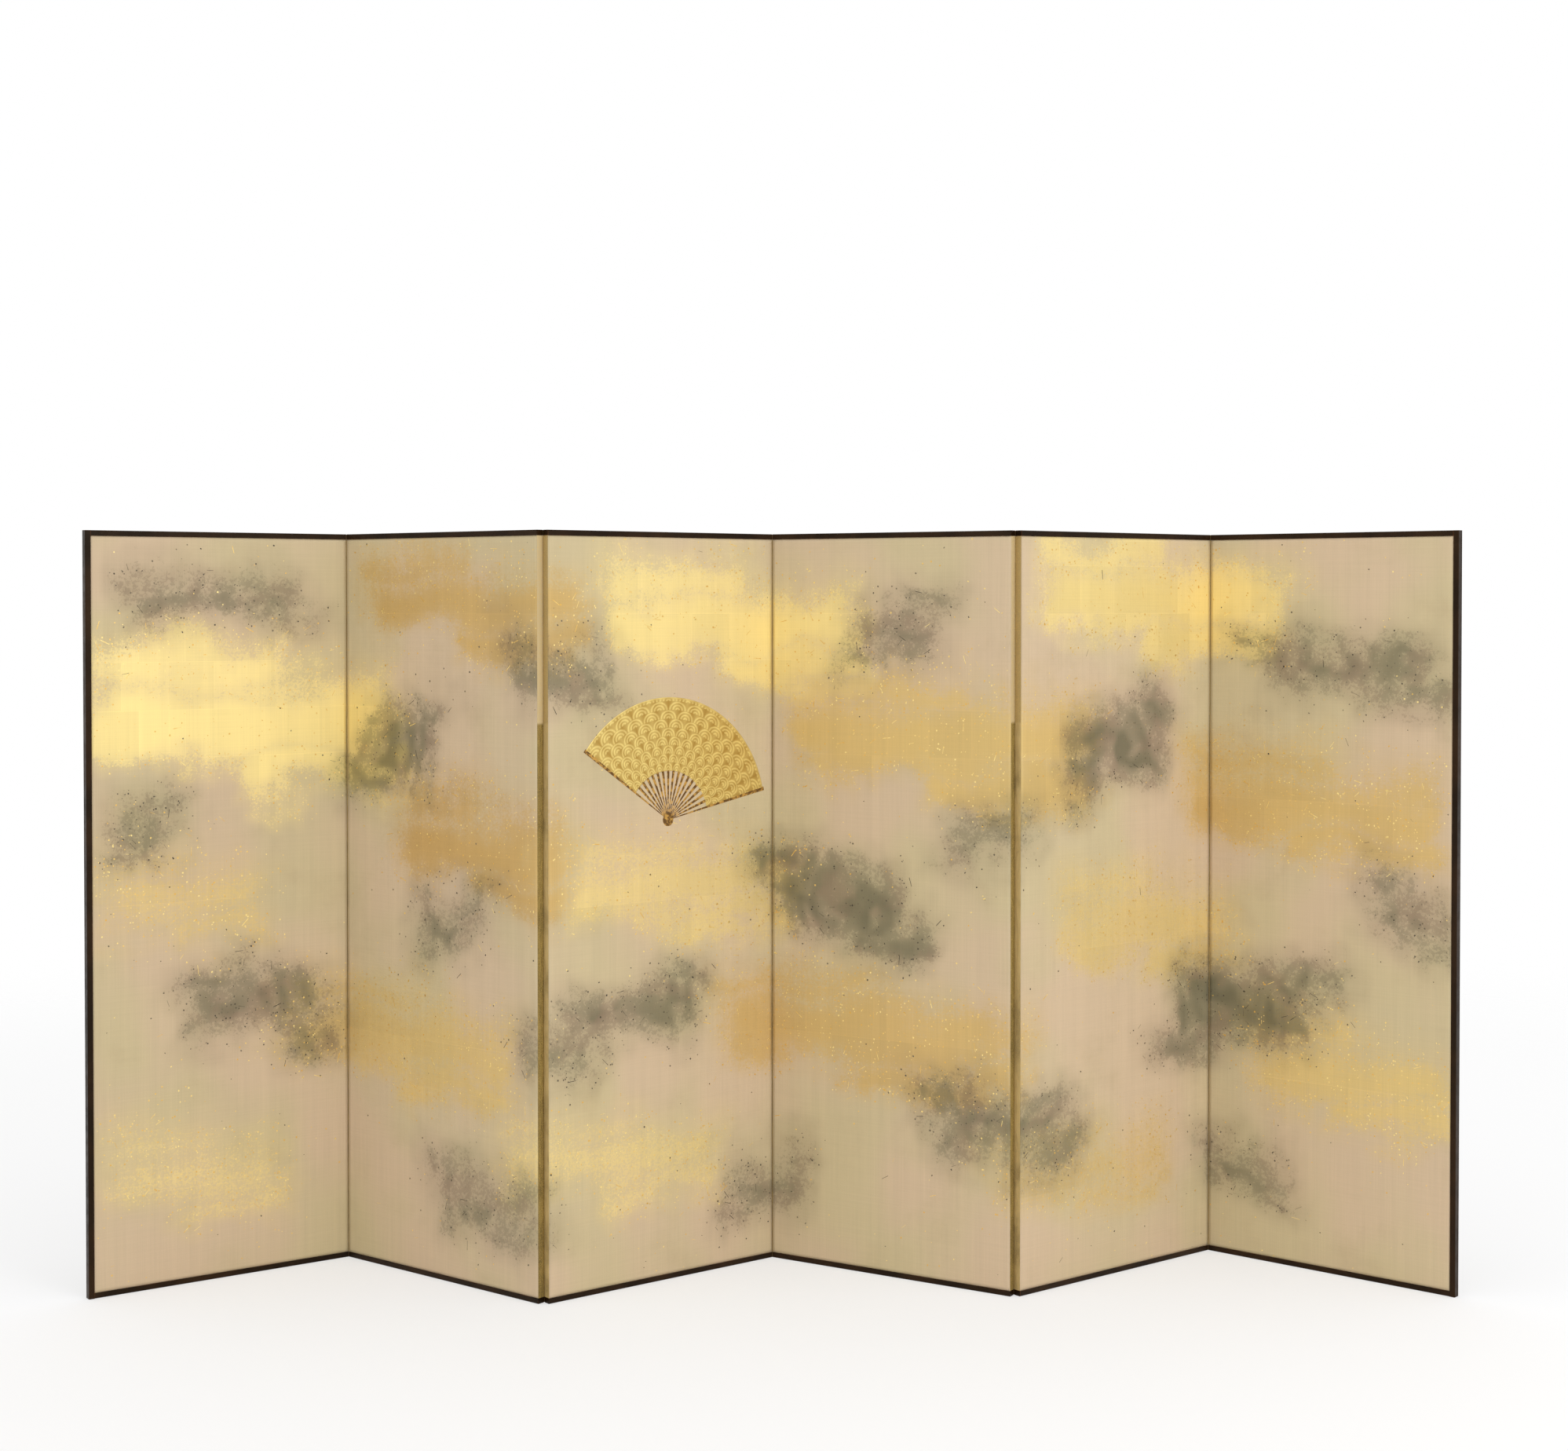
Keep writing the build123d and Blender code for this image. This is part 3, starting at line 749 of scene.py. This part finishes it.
def make_stick(panel, angle, outer, outer_half, height):
    """Points and faces of one stick, with bevelled sides, wider towards the leaf. Its cross
    sections have four corners each: a foot, two on top and the other foot."""
    points, faces = [], []
    for step in range(STICK_STEPS + 1):
        share = step / STICK_STEPS
        radius = STICK_IN + (outer - STICK_IN) * share
        half = STICK_HALF_IN + (outer_half - STICK_HALF_IN) * share
        top = (-STICK_FLAT, height), (STICK_FLAT, height)
        for side, level in ((-1, -FAN_FOOT), *top, (1, -FAN_FOOT)):
            turn = angle + side * half / radius
            points.append(fan_point(panel, turn, radius, level))
    for first in range(0, 4 * STICK_STEPS, 4):
        sides = ((0, 1), (1, 2), (2, 3), (3, 0))
        faces += [(first + a, first + b, first + b + 4, first + a + 4) for a, b in sides]
    faces.append((3, 2, 1, 0))
    faces.append(tuple(4 * STICK_STEPS + corner for corner in range(4)))
    return points, faces


def make_boss(panel):
    """Points and faces of the round boss over the sticks' ends, with the rivet's head on it."""
    points, faces = [], []
    for radius, level in FAN_BOSS:
        for step in range(BOSS_STEPS):
            angle = math.tau * step / BOSS_STEPS
            points.append(fan_point(panel, angle, radius, level))
    for first in range(0, BOSS_STEPS * (len(FAN_BOSS) - 1), BOSS_STEPS):
        for step in range(BOSS_STEPS):
            a, b = first + step, first + (step + 1) % BOSS_STEPS
            faces.append((a, a + BOSS_STEPS, b + BOSS_STEPS, b))
    faces.append(tuple(range(len(points) - BOSS_STEPS, len(points))[::-1]))
    faces.append(tuple(range(BOSS_STEPS)))
    return points, faces


def make_fan_sticks(panel):
    """The sticks between the pivot and the leaf, two wider guards, and the boss."""
    points, faces = [], []
    parts = [make_boss(panel)]
    for index in range(FAN_PLEATS + 1):
        angle = FAN_OPENING * (index / FAN_PLEATS - 0.5)
        if index in (0, FAN_PLEATS):
            outer = LEAF_OUT + GUARD_PAST_LEAF
            parts.append(make_stick(panel, angle, outer, GUARD_HALF_OUT, FAN_HEIGHT))
        else:
            outer = LEAF_IN + STICK_UNDER_LEAF
            parts.append(make_stick(panel, angle, outer, STICK_HALF_OUT, STICK_HEIGHT))
    for more_points, more_faces in parts:
        faces += [tuple(len(points) + corner for corner in face) for face in more_faces]
        points += more_points
    looks = dark_gold(), "painted_silk"
    new_piece("fan_sticks", points, faces, *looks, panel.body, smooth=False)


# -------------------- materials

SILK_PINK = srgb(207, 183, 151)
SILK_YELLOW = srgb(201, 184, 144)
SILK_AGED = srgb(182, 161, 124)
GOLD_PALE = srgb(250, 226, 148)
GOLD_DEEP = srgb(197, 157, 85)
SILVER_BROWN = srgb(112, 93, 72)
SILVER_GREEN = srgb(97, 92, 66)
GOLD_SHEET = 0.109  # the side of a sheet of gold leaf
GOLD_OVERLAP = 0.0008
GOLD_GREYS = 0.95, 1.04, 1.07  # two shades of sheets, and where they overlap
GOLD_SHIFT = 0.37  # of every other row of sheets

# Strewn leaf. A place has a bit on it where the cover is over a threshold, which is different in
# each cell of a large and a small size, and changes slowly where the bits clump together.
LARGE_CELLS, SMALL_CELLS = 0.40, 0.25  # how far the threshold differs between cells
CLUMP_SIZE = 4  # in large cells
LOWEST_THRESHOLD = 0.16
BIT_EDGE = -0.05, 0.07  # how far over the threshold a bit's edge starts and ends
FULL_COVER = 0.96
# The two sizes of bits, how much they clump, and their share beside the dust.
GOLD_GRAINS, SILVER_GRAINS = (0.0042, 0.0014, 0.30, 0.30), (0.0060, 0.0022, 0.40, 0.20)


def grains(shader, where, cover, large, small, clumping, coarseness):
    """How far each place is covered with leaf that is strewn as thickly as cover says: a share
    from 0 to 1, of which bits make up coarseness, and a fine even dust the rest."""
    clumps = shader.noise(where, 1 / (CLUMP_SIZE * large), 3.0)
    threshold = shader.add(
        shader.scaled(shader.cells(where, 1 / large), LARGE_CELLS),
        shader.scaled(shader.cells(where, 1 / small), SMALL_CELLS),
        shader.scaled(clumps, clumping),
        LOWEST_THRESHOLD - 0.5 * clumping,
    )
    bits = shader.span(shader.math("SUBTRACT", cover, threshold), *BIT_EDGE)
    dust = shader.scaled(cover, FULL_COVER - coarseness)
    return shader.add(shader.scaled(bits, coarseness), dust)


@cache
def painted_silk():
    """Aged silk with gold dust, thinning out to grains at the mists' edges, and drifts of
    tarnished silver leaf in small torn bits."""
    shader = Shader("painted silk")
    where = shader.attribute("unfolded", "Vector")
    gold, tone = shader.attribute("gold"), shader.attribute("tone")
    silver = shader.attribute("silver")

    patches = shader.span(shader.noise(where, 2.6, 2.0), 0.38, 0.62)
    ground = shader.mix(patches, SILK_PINK, SILK_YELLOW)
    stains = shader.span(shader.noise(where, 5.3, 6.0, 0.62), 0.50, 0.80, 0.0, 0.5)
    ground = shader.mix(stains, ground, SILK_AGED)
    warp = shader.noise(shader.stretch(where, 420, 6), 1.0, 3.0)
    weft = shader.noise(shader.stretch(where, 5, 300), 1.0, 3.0)
    stripes = shader.noise(shader.stretch(where, 46, 0.5), 1.0, 2.0)
    threads = shader.add(shader.scaled(warp, 0.6), shader.scaled(weft, 0.4))
    shade = shader.add(shader.scaled(threads, 0.22), shader.scaled(stripes, 0.12), 0.83)

    gold_cover = grains(shader, where, gold, *GOLD_GRAINS)
    gold_colour = shader.mix(shader.span(tone, 0.0, 1.0), GOLD_PALE, GOLD_DEEP)
    size = GOLD_SHEET, GOLD_SHEET
    sheets = shader.bricks(where, *size, GOLD_GREYS, GOLD_OVERLAP, 0.5, GOLD_SHIFT)
    gold_colour = shader.mix(1.0, gold_colour, sheets, "MULTIPLY")
    colour = shader.mix(gold_cover, ground, gold_colour)

    silver_cover = grains(shader, where, silver, *SILVER_GRAINS)
    tarnish = shader.add(shader.noise(where, 11, 3.0), shader.scaled(silver, 0.25))
    tarnish = shader.span(tarnish, 0.52, 0.74)
    silver_colour = shader.mix(tarnish, SILVER_BROWN, SILVER_GREEN)
    colour = shader.mix(shader.scaled(silver_cover, 0.92), colour, silver_colour)
    colour = shader.mix(1.0, colour, shader.grey(shade), "MULTIPLY")

    shader.set(
        base_color=colour,
        metallic=shader.scaled(gold_cover, 0.40),
        roughness=shader.span(gold_cover, 0.0, 1.0, 0.74, 0.46, "LINEAR"),
        sheen_weight=0.08,
        normal=shader.bump(threads, 0.0001),
    )
    return shader.material


# Painted shade for the fan leaf's hollows and a painted highlight for its raised parts.
RELIEF_SHADE, RELIEF_HIGHLIGHT = srgb(182, 146, 68), srgb(246, 222, 138)
RELIEF_WORN = srgb(158, 112, 56)
STICK_DARK, STICK_RUBBED = srgb(108, 76, 34), srgb(200, 154, 74)
CUT_GOLD = srgb(226, 180, 88), srgb(250, 226, 150)
CUT_SILVER = srgb(70, 62, 50), srgb(128, 116, 92)


@cache
def raised_gold():
    """Gold leaf over raised gesso, with a painted highlight on its raised folds, scales and rim,
    and painted shade in the hollows.
    """
    shader = Shader("raised gold")
    where = shader.attribute("unfolded", "Vector")
    fold, waves = shader.attribute("fold"), shader.attribute("waves")
    # The colour follows the relief: painted highlight where it is raised, painted shade in the
    # hollows.
    raised = shader.add(shader.scaled(fold, 0.35), shader.scaled(waves, 0.65))
    colour = shader.mix(raised, RELIEF_SHADE, RELIEF_HIGHLIGHT)
    worn = shader.span(shader.noise(where, 46, 5.0, 0.6), 0.62, 0.76, 0.0, 0.45)
    colour = shader.mix(worn, colour, RELIEF_WORN)
    crackle = shader.noise(where, 600, 2.0)
    shader.set(
        base_color=colour,
        metallic=0.6,
        roughness=shader.span(shader.noise(where, 90, 3.0), 0.3, 0.7, 0.30, 0.48),
        normal=shader.bump(crackle, 0.00012),
    )
    return shader.material


@cache
def dark_gold():
    """The fan's sticks: gold that has darkened, with its brightness rubbed back in places."""
    shader = Shader("darkened gold")
    where = shader.rest_place()
    rub = shader.span(shader.noise(where, 120, 4.0), 0.42, 0.62)
    shader.set(
        base_color=shader.mix(rub, STICK_DARK, STICK_RUBBED),
        metallic=0.5,
        roughness=0.45,
        normal=shader.bump(shader.noise(where, 500, 2.0), 0.0001),
    )
    return shader.material


def cut_leaf(name, colours, metallic, roughness):
    """Chips of leaf, some darker than others."""
    shader = Shader(name)
    tint = shader.span(shader.noise(shader.rest_place(), 55, 2.0), 0.35, 0.65)
    colour = shader.mix(tint, *colours)
    shader.set(base_color=colour, metallic=metallic, roughness=roughness)
    return shader.material


BACK_CIRCLE = 0.044  # radius of the linked circles printed on the back
RING_HALF, DOT_RADIUS = (0.016, 0.026), (0.035, 0.050)  # from full to none, in diameters
BACK_GROUND = srgb(92, 80, 54), srgb(104, 90, 60)
BACK_STAIN = srgb(66, 55, 36)
BACK_PRINT = srgb(150, 134, 94)
PAPER_LENGTH, PAPER_HEIGHT, PAPER_OVERLAP = 0.46, 0.33, 0.0012
PAPER_GREYS = 0.90, 1.06, 0.72  # two shades of sheets, and where they overlap


@cache
def printed_paper():
    """Brown paper printed with linked circles, pasted up from sheets that overlap a little."""
    shader = Shader("printed paper")
    where = shader.attribute("unfolded", "Vector")
    cell = shader.stretch(where, 0.5 / BACK_CIRCLE, 0.5 / BACK_CIRCLE, 0)
    printed = 0.0
    for shift in (0.0, 0.5):
        inner = shader.vector("FRACTION", shader.vector("ADD", cell, (shift, shift, 0)))
        radius = shader.vector("LENGTH", shader.vector("SUBTRACT", inner, (0.5, 0.5, 0)))
        away = shader.math("ABSOLUTE", shader.math("SUBTRACT", radius, 0.5))
        ring = shader.span(away, *RING_HALF, 1.0, 0.0)
        dot = shader.span(radius, *DOT_RADIUS, 1.0, 0.0)
        mark = shader.math("MAXIMUM", ring, dot)
        printed = shader.math("MAXIMUM", mark, printed)
    rubbed = shader.span(shader.noise(where, 30, 5.0, 0.65), 0.32, 0.62, 0.35, 1.0)
    printed = shader.math("MULTIPLY", printed, rubbed)
    fibres = shader.noise(shader.stretch(where, 260, 40), 1.0, 4.0)
    ground = shader.mix(shader.span(fibres, 0.3, 0.7), *BACK_GROUND)
    stains = shader.span(shader.noise(where, 4.0, 5.0, 0.6), 0.52, 0.75, 0.0, 0.5)
    ground = shader.mix(stains, ground, BACK_STAIN)
    colour = shader.mix(shader.scaled(printed, 0.75), ground, BACK_PRINT)
    size = PAPER_LENGTH, PAPER_HEIGHT
    sheets = shader.bricks(where, *size, PAPER_GREYS, PAPER_OVERLAP, 0.3)
    colour = shader.mix(1.0, colour, sheets, "MULTIPLY")
    height = shader.add(fibres, shader.scaled(printed, 0.4))
    shader.set(
        base_color=colour,
        roughness=shader.span(printed, 0.0, 1.0, 0.85, 0.55, "LINEAR"),
        normal=shader.bump(height, 0.00015),
    )
    return shader.material


LACQUER = srgb(25, 14, 5), srgb(46, 29, 14)
LACQUER_WORN = srgb(104, 60, 30)
LACQUER_DUST = srgb(120, 104, 80)
LACQUER_GLOSS = (1.0, 0.84, 0.66, 1.0)
RUBBED_EDGE = 0.0022  # how far from an edge the lacquer is rubbed


@cache
def black_lacquer():
    """Black-brown lacquer, thin and reddish where edges and corners are rubbed."""
    shader = Shader("black lacquer")
    where = shader.rest_place()
    rounded = shader.node("ShaderNodeBevel", {"Radius": RUBBED_EDGE}, samples=6)
    face = shader.node("ShaderNodeNewGeometry", {}, "Normal")
    on_edge = shader.span(shader.vector("DOT_PRODUCT", rounded, face), 0.90, 0.99, 1.0, 0.0)
    rub = shader.span(shader.noise(where, 26, 6.0, 0.65), 0.44, 0.62)
    worn = shader.math("MULTIPLY", on_edge, rub)
    mottle = shader.span(shader.noise(where, 9, 4.0), 0.35, 0.7)
    colour = shader.mix(mottle, *LACQUER)
    colour = shader.mix(shader.scaled(worn, 0.7), colour, LACQUER_WORN)
    dust = shader.span(shader.noise(where, 240, 3.0, 0.6), 0.62, 0.78, 0.0, 0.12)
    colour = shader.mix(dust, colour, LACQUER_DUST)
    shader.set(
        base_color=colour,
        roughness=shader.span(shader.noise(where, 60, 4.0), 0.3, 0.7, 0.28, 0.46),
        specular_ior_level=0.14,
        specular_tint=LACQUER_GLOSS,
        normal=shader.bump(shader.noise(where, 130, 2.0), 0.00008),
    )
    return shader.material


# Paper on the panel left of a fold and on the one right of it, from dark to light.
HINGE_LEFT = srgb(126, 104, 50), srgb(154, 130, 68)
HINGE_RIGHT = srgb(188, 161, 106), srgb(208, 182, 124)
# Real soil on the hinge papers, and the lighter end of the crease paper's painted shade.
HINGE_SOIL_AND_SHADE = srgb(96, 78, 38)
CREASE_SHADE = srgb(64, 48, 24)  # painted shade along the fold lines, on the crease paper
HINGE_GOLD = srgb(222, 184, 100)  # the dust on it
HINGE_DUST_CELLS = 1100  # to a metre
HINGE_FIBRES = 300, 30  # how fine they are across and along
CLEANER_Z, CLEANER_BLEND = 1.284, 0.004  # the height from which the papers are cleaner
CLEANER_LEFT, CLEANER_RIGHT = srgb(192, 166, 108), srgb(172, 146, 92)
CLEANER_RIDGE = srgb(218, 196, 150)  # as pale as the silk
PALE_RIDGES = "fold_2_left", "fold_4_left"
HINGE_BACK = srgb(112, 96, 62)  # paper that shows on the screen's back
BACKWARD = 0.62, 0.74  # a normal's share along +Y: less on the edges, more on the backs


@cache
def hinge_paper(name, low, high, cleaner):
    """Tough paper dusted with gold, soiled where it is touched and cleaner towards the top."""
    shader = Shader(name)
    where = shader.rest_place()
    fibres = shader.upright_fibres(*HINGE_FIBRES)
    colour = shader.mix(shader.span(fibres, 0.3, 0.7), low, high)
    soil = shader.span(shader.noise(where, 12, 4.0), 0.45, 0.70, 0.0, 0.45)
    colour = shader.mix(soil, colour, HINGE_SOIL_AND_SHADE)
    blend = CLEANER_Z - CLEANER_BLEND, CLEANER_Z + CLEANER_BLEND
    above = shader.span(shader.part(where, "Z"), *blend, 0.0, 0.85)
    colour = shader.mix(above, colour, cleaner)
    dust = shader.span(shader.cells(where, HINGE_DUST_CELLS), 0.80, 0.88, 0.0, 0.5)
    colour = shader.mix(dust, colour, HINGE_GOLD)
    normal = shader.node("ShaderNodeTexCoord", {}, "Normal")
    behind = shader.span(shader.part(normal, "Y"), *BACKWARD)
    colour = shader.mix(behind, colour, HINGE_BACK)
    shader.set(
        base_color=colour,
        metallic=0.1,
        roughness=0.65,
        normal=shader.bump(fibres, 0.0002),
    )
    return shader.material


def papers_of(fold_side):
    """The paper of the strips on one side of a fold, for a name as in fold_1_left."""
    if fold_side in PALE_RIDGES:
        return hinge_paper("left hinge paper, pale above", *HINGE_LEFT, CLEANER_RIDGE)
    if fold_side.endswith("left"):
        return hinge_paper("left hinge paper", *HINGE_LEFT, CLEANER_LEFT)
    return hinge_paper("right hinge paper", *HINGE_RIGHT, CLEANER_RIGHT)


@cache
def crease_shade_paper():
    """The papers along the fold lines, painted dark as the shade in the creases."""
    shader = Shader("paper painted with crease shade")
    fibres = shader.upright_fibres(*HINGE_FIBRES)
    colour = shader.mix(shader.span(fibres, 0.3, 0.7), CREASE_SHADE, HINGE_SOIL_AND_SHADE)
    shader.set(base_color=colour, roughness=0.85, normal=shader.bump(fibres, 0.0002))
    return shader.material


KOZO = srgb(196, 180, 146), srgb(222, 210, 180)
EARLY_WOOD, LATE_WOOD, WOOD_PORES = srgb(206, 164, 112), srgb(164, 112, 66), srgb(120, 80, 48)
IRON_BLACK, IRON_RUST = srgb(52, 48, 46), srgb(104, 62, 38)


@cache
def lining_paper():
    """Unbleached kozo paper with long fibres."""
    shader = Shader("lining paper")
    fibres = shader.upright_fibres(180, 60, 5.0, 0.6)
    colour = shader.mix(shader.span(fibres, 0.3, 0.7), *KOZO)
    shader.set(base_color=colour, roughness=0.9, normal=shader.bump(fibres, 0.0002))
    return shader.material


@cache
def cedar():
    """Straight-grained cedar: growth rings cut along the slat, with finer pores."""
    shader = Shader("cedar")
    where = shader.rest_place()
    bent = shader.vector("ADD", where, shader.noise(where, 2.0, 2.0))
    rings = shader.node(
        "ShaderNodeTexWave",
        {"Vector": shader.stretch(bent, 1.0, 1.0, 0.04), "Scale": 90.0, "Distortion": 2.0},
        "Fac",
    )
    pores = shader.upright_fibres(900, 30, 3.0)
    colour = shader.mix(rings, EARLY_WOOD, LATE_WOOD)
    colour = shader.mix(shader.span(pores, 0.55, 0.75, 0.0, 0.35), colour, WOOD_PORES)
    shader.set(base_color=colour, roughness=0.7, normal=shader.bump(rings, 0.0001))
    return shader.material


@cache
def black_iron():
    """Forge-black iron with rust in spots."""
    shader = Shader("blackened iron")
    rust = shader.span(shader.noise(shader.rest_place(), 300, 4.0, 0.6), 0.50, 0.68)
    shader.set(
        base_color=shader.mix(rust, IRON_BLACK, IRON_RUST),
        metallic=shader.span(rust, 0.0, 1.0, 0.9, 0.1, "LINEAR"),
        roughness=shader.span(rust, 0.0, 1.0, 0.45, 0.85, "LINEAR"),
        normal=shader.bump(rust, 0.0001),
    )
    return shader.material


SLOT_MATERIALS = {
    "cedar_core": cedar,
    "kozo_lining": lining_paper,
    "painted_silk": painted_silk,
    "back_paper": printed_paper,
    "black_lacquer": black_lacquer,
    "nail_iron": black_iron,
}


def dress_cad_nodes():
    """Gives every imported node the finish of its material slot."""
    for part in frame["record"]["subparts"]:
        name, slot_name = part["node"], part["material_slot"]
        if slot_name == "hinge_paper":
            material = papers_of(name.removesuffix("_papers"))
        else:
            material = SLOT_MATERIALS[slot_name]()
        for slot in NODES[name].material_slots:
            slot.material = material


# -------------------- floor, light and camera

FLOOR_HALF = 8.0
FLOOR_DROP = 0.0002  # how far it is under the screen's feet
FLOOR_NEAR, FLOOR_FAR = 3.4, 6.0  # where the floor starts and ends to fade into the white
FLOOR_PALING = 0.5  # how much of the white the camera sees in it, which softens the shadow


def make_floor():
    """A pale floor that fades into the white background all round."""
    shader = Shader("pale floor")
    shader.set(base_color=(0.93, 0.93, 0.93, 1), roughness=0.9, specular_ior_level=0.1)
    white = shader.node("ShaderNodeEmission", {"Color": (1, 1, 1, 1), "Strength": 1.0})
    lit = shader.surface.outputs[0]
    paling = shader.scaled(shader.background_rays(), FLOOR_PALING)
    paled = shader.node("ShaderNodeMixShader", {0: paling, 1: lit, 2: white})
    fade = shader.span(shader.vector("LENGTH", shader.rest_place()), FLOOR_NEAR, FLOOR_FAR)
    clear = shader.node("ShaderNodeBsdfTransparent", {})
    faded = shader.node("ShaderNodeMixShader", {0: fade, 1: paled, 2: clear})
    shader.feed(shader.tree.nodes["Material Output"].inputs["Surface"], faded)
    signs = (-1, -1), (1, -1), (1, 1), (-1, 1)
    corners = [(x * FLOOR_HALF, y * FLOOR_HALF, 0) for x, y in signs]
    floor = new_piece("floor", corners, [(0, 1, 2, 3)], shader.material, smooth=False)
    floor.location.z = CAD_BOX[0].z - FLOOR_DROP


WORLD_LOW, WORLD_HIGH = 0.82, 1.08  # its light from just under the horizon, and from above
WORLD_START = -0.1  # the height, from -1 to 1, where it starts to get brighter


def make_world():
    """A white studio: pure white to the camera, a little brighter above than at eye height."""
    world = bpy.data.worlds.new("studio")
    world.use_nodes = True
    bpy.context.scene.world = world
    sky = Nodes(world.node_tree)
    height = sky.part(sky.node("ShaderNodeTexCoord", {}, "Generated"), "Z")
    light = sky.span(height, WORLD_START, 1.0, WORLD_LOW, WORLD_HIGH, "LINEAR")
    strength = sky.node("ShaderNodeMix", {0: sky.background_rays(), 2: light, 3: 1.0})
    background = sky.tree.nodes["Background"].inputs
    sky.feed(background["Color"], (1, 1, 1, 1))
    sky.feed(background["Strength"], strength)


KEY_PLACE, KEY_AIM = Vector((3.6, -4.6, 3.4)), Vector((0.0, 0.0, 0.9))
KEY_SIZE, KEY_POWER = 2.6, 75


def make_key_light():
    """A large soft light from the right, in front and above."""
    data = bpy.data.lights.new("key", "AREA")
    data.shape = "SQUARE"
    data.size = KEY_SIZE
    data.energy = KEY_POWER
    light = new_object("key", data)
    light.location = KEY_PLACE
    light.rotation_euler = (KEY_AIM - KEY_PLACE).to_track_quat("-Z", "Y").to_euler()


EYE = Vector((0.024, -5.676, 1.558))  # where the picture was taken from, looking along +Y
LOOKING_DOWN = math.radians(1.1)
PICTURE_WIDTH, FOCAL_PIXELS = 1997, 3150
SENSOR = 36.0
LENS_RISE = -0.050  # the lens's shift, in picture widths, which shows more below without tilt


def make_camera():
    """The photo's viewpoint for this screen, framed on the screen alone."""
    data = bpy.data.cameras.new("camera")
    data.sensor_width = SENSOR
    data.lens = SENSOR * FOCAL_PIXELS / PICTURE_WIDTH
    data.shift_y = LENS_RISE
    camera = new_object("camera", data)
    camera.location = EYE
    camera.rotation_euler = (math.radians(90) - LOOKING_DOWN, 0, 0)
    bpy.context.scene.camera = camera


# -------------------- putting it together

panels = read_panels()
dress_cad_nodes()
gold_leaf = cut_leaf("cut gold leaf", CUT_GOLD, metallic=0.7, roughness=0.36)
silver_leaf = cut_leaf("cut silver leaf", CUT_SILVER, metallic=0.4, roughness=0.5)
for panel in panels:
    make_painted_silk(panel)
    make_back_sheet(panel)
    counts = GOLD_FLECKS_PER_PANEL, GOLD_NEEDLES_PER_PANEL
    make_chips(panel, f"{panel.body}_gold_flecks", gold_chips_kept, *counts, gold_leaf)
    counts = SILVER_FLECKS_PER_PANEL, SILVER_NEEDLES_PER_PANEL
    make_chips(panel, f"{panel.body}_silver_flecks", silver_chips_kept, *counts, silver_leaf)
for joint, left, right in zip(frame["joints"], panels, panels[1:]):
    make_crease(joint, left, right)
    pivot = np.array(joint["pos_m"])
    make_slip(f"{joint['name']}_left", left, pivot)
    make_slip(f"{joint['name']}_right", right, pivot)
make_fan_leaf(panels[FAN_PANEL - 1])
make_fan_sticks(panels[FAN_PANEL - 1])
make_floor()
make_world()
make_key_light()
make_camera()
bpy.context.scene.view_settings.view_transform = "Standard"
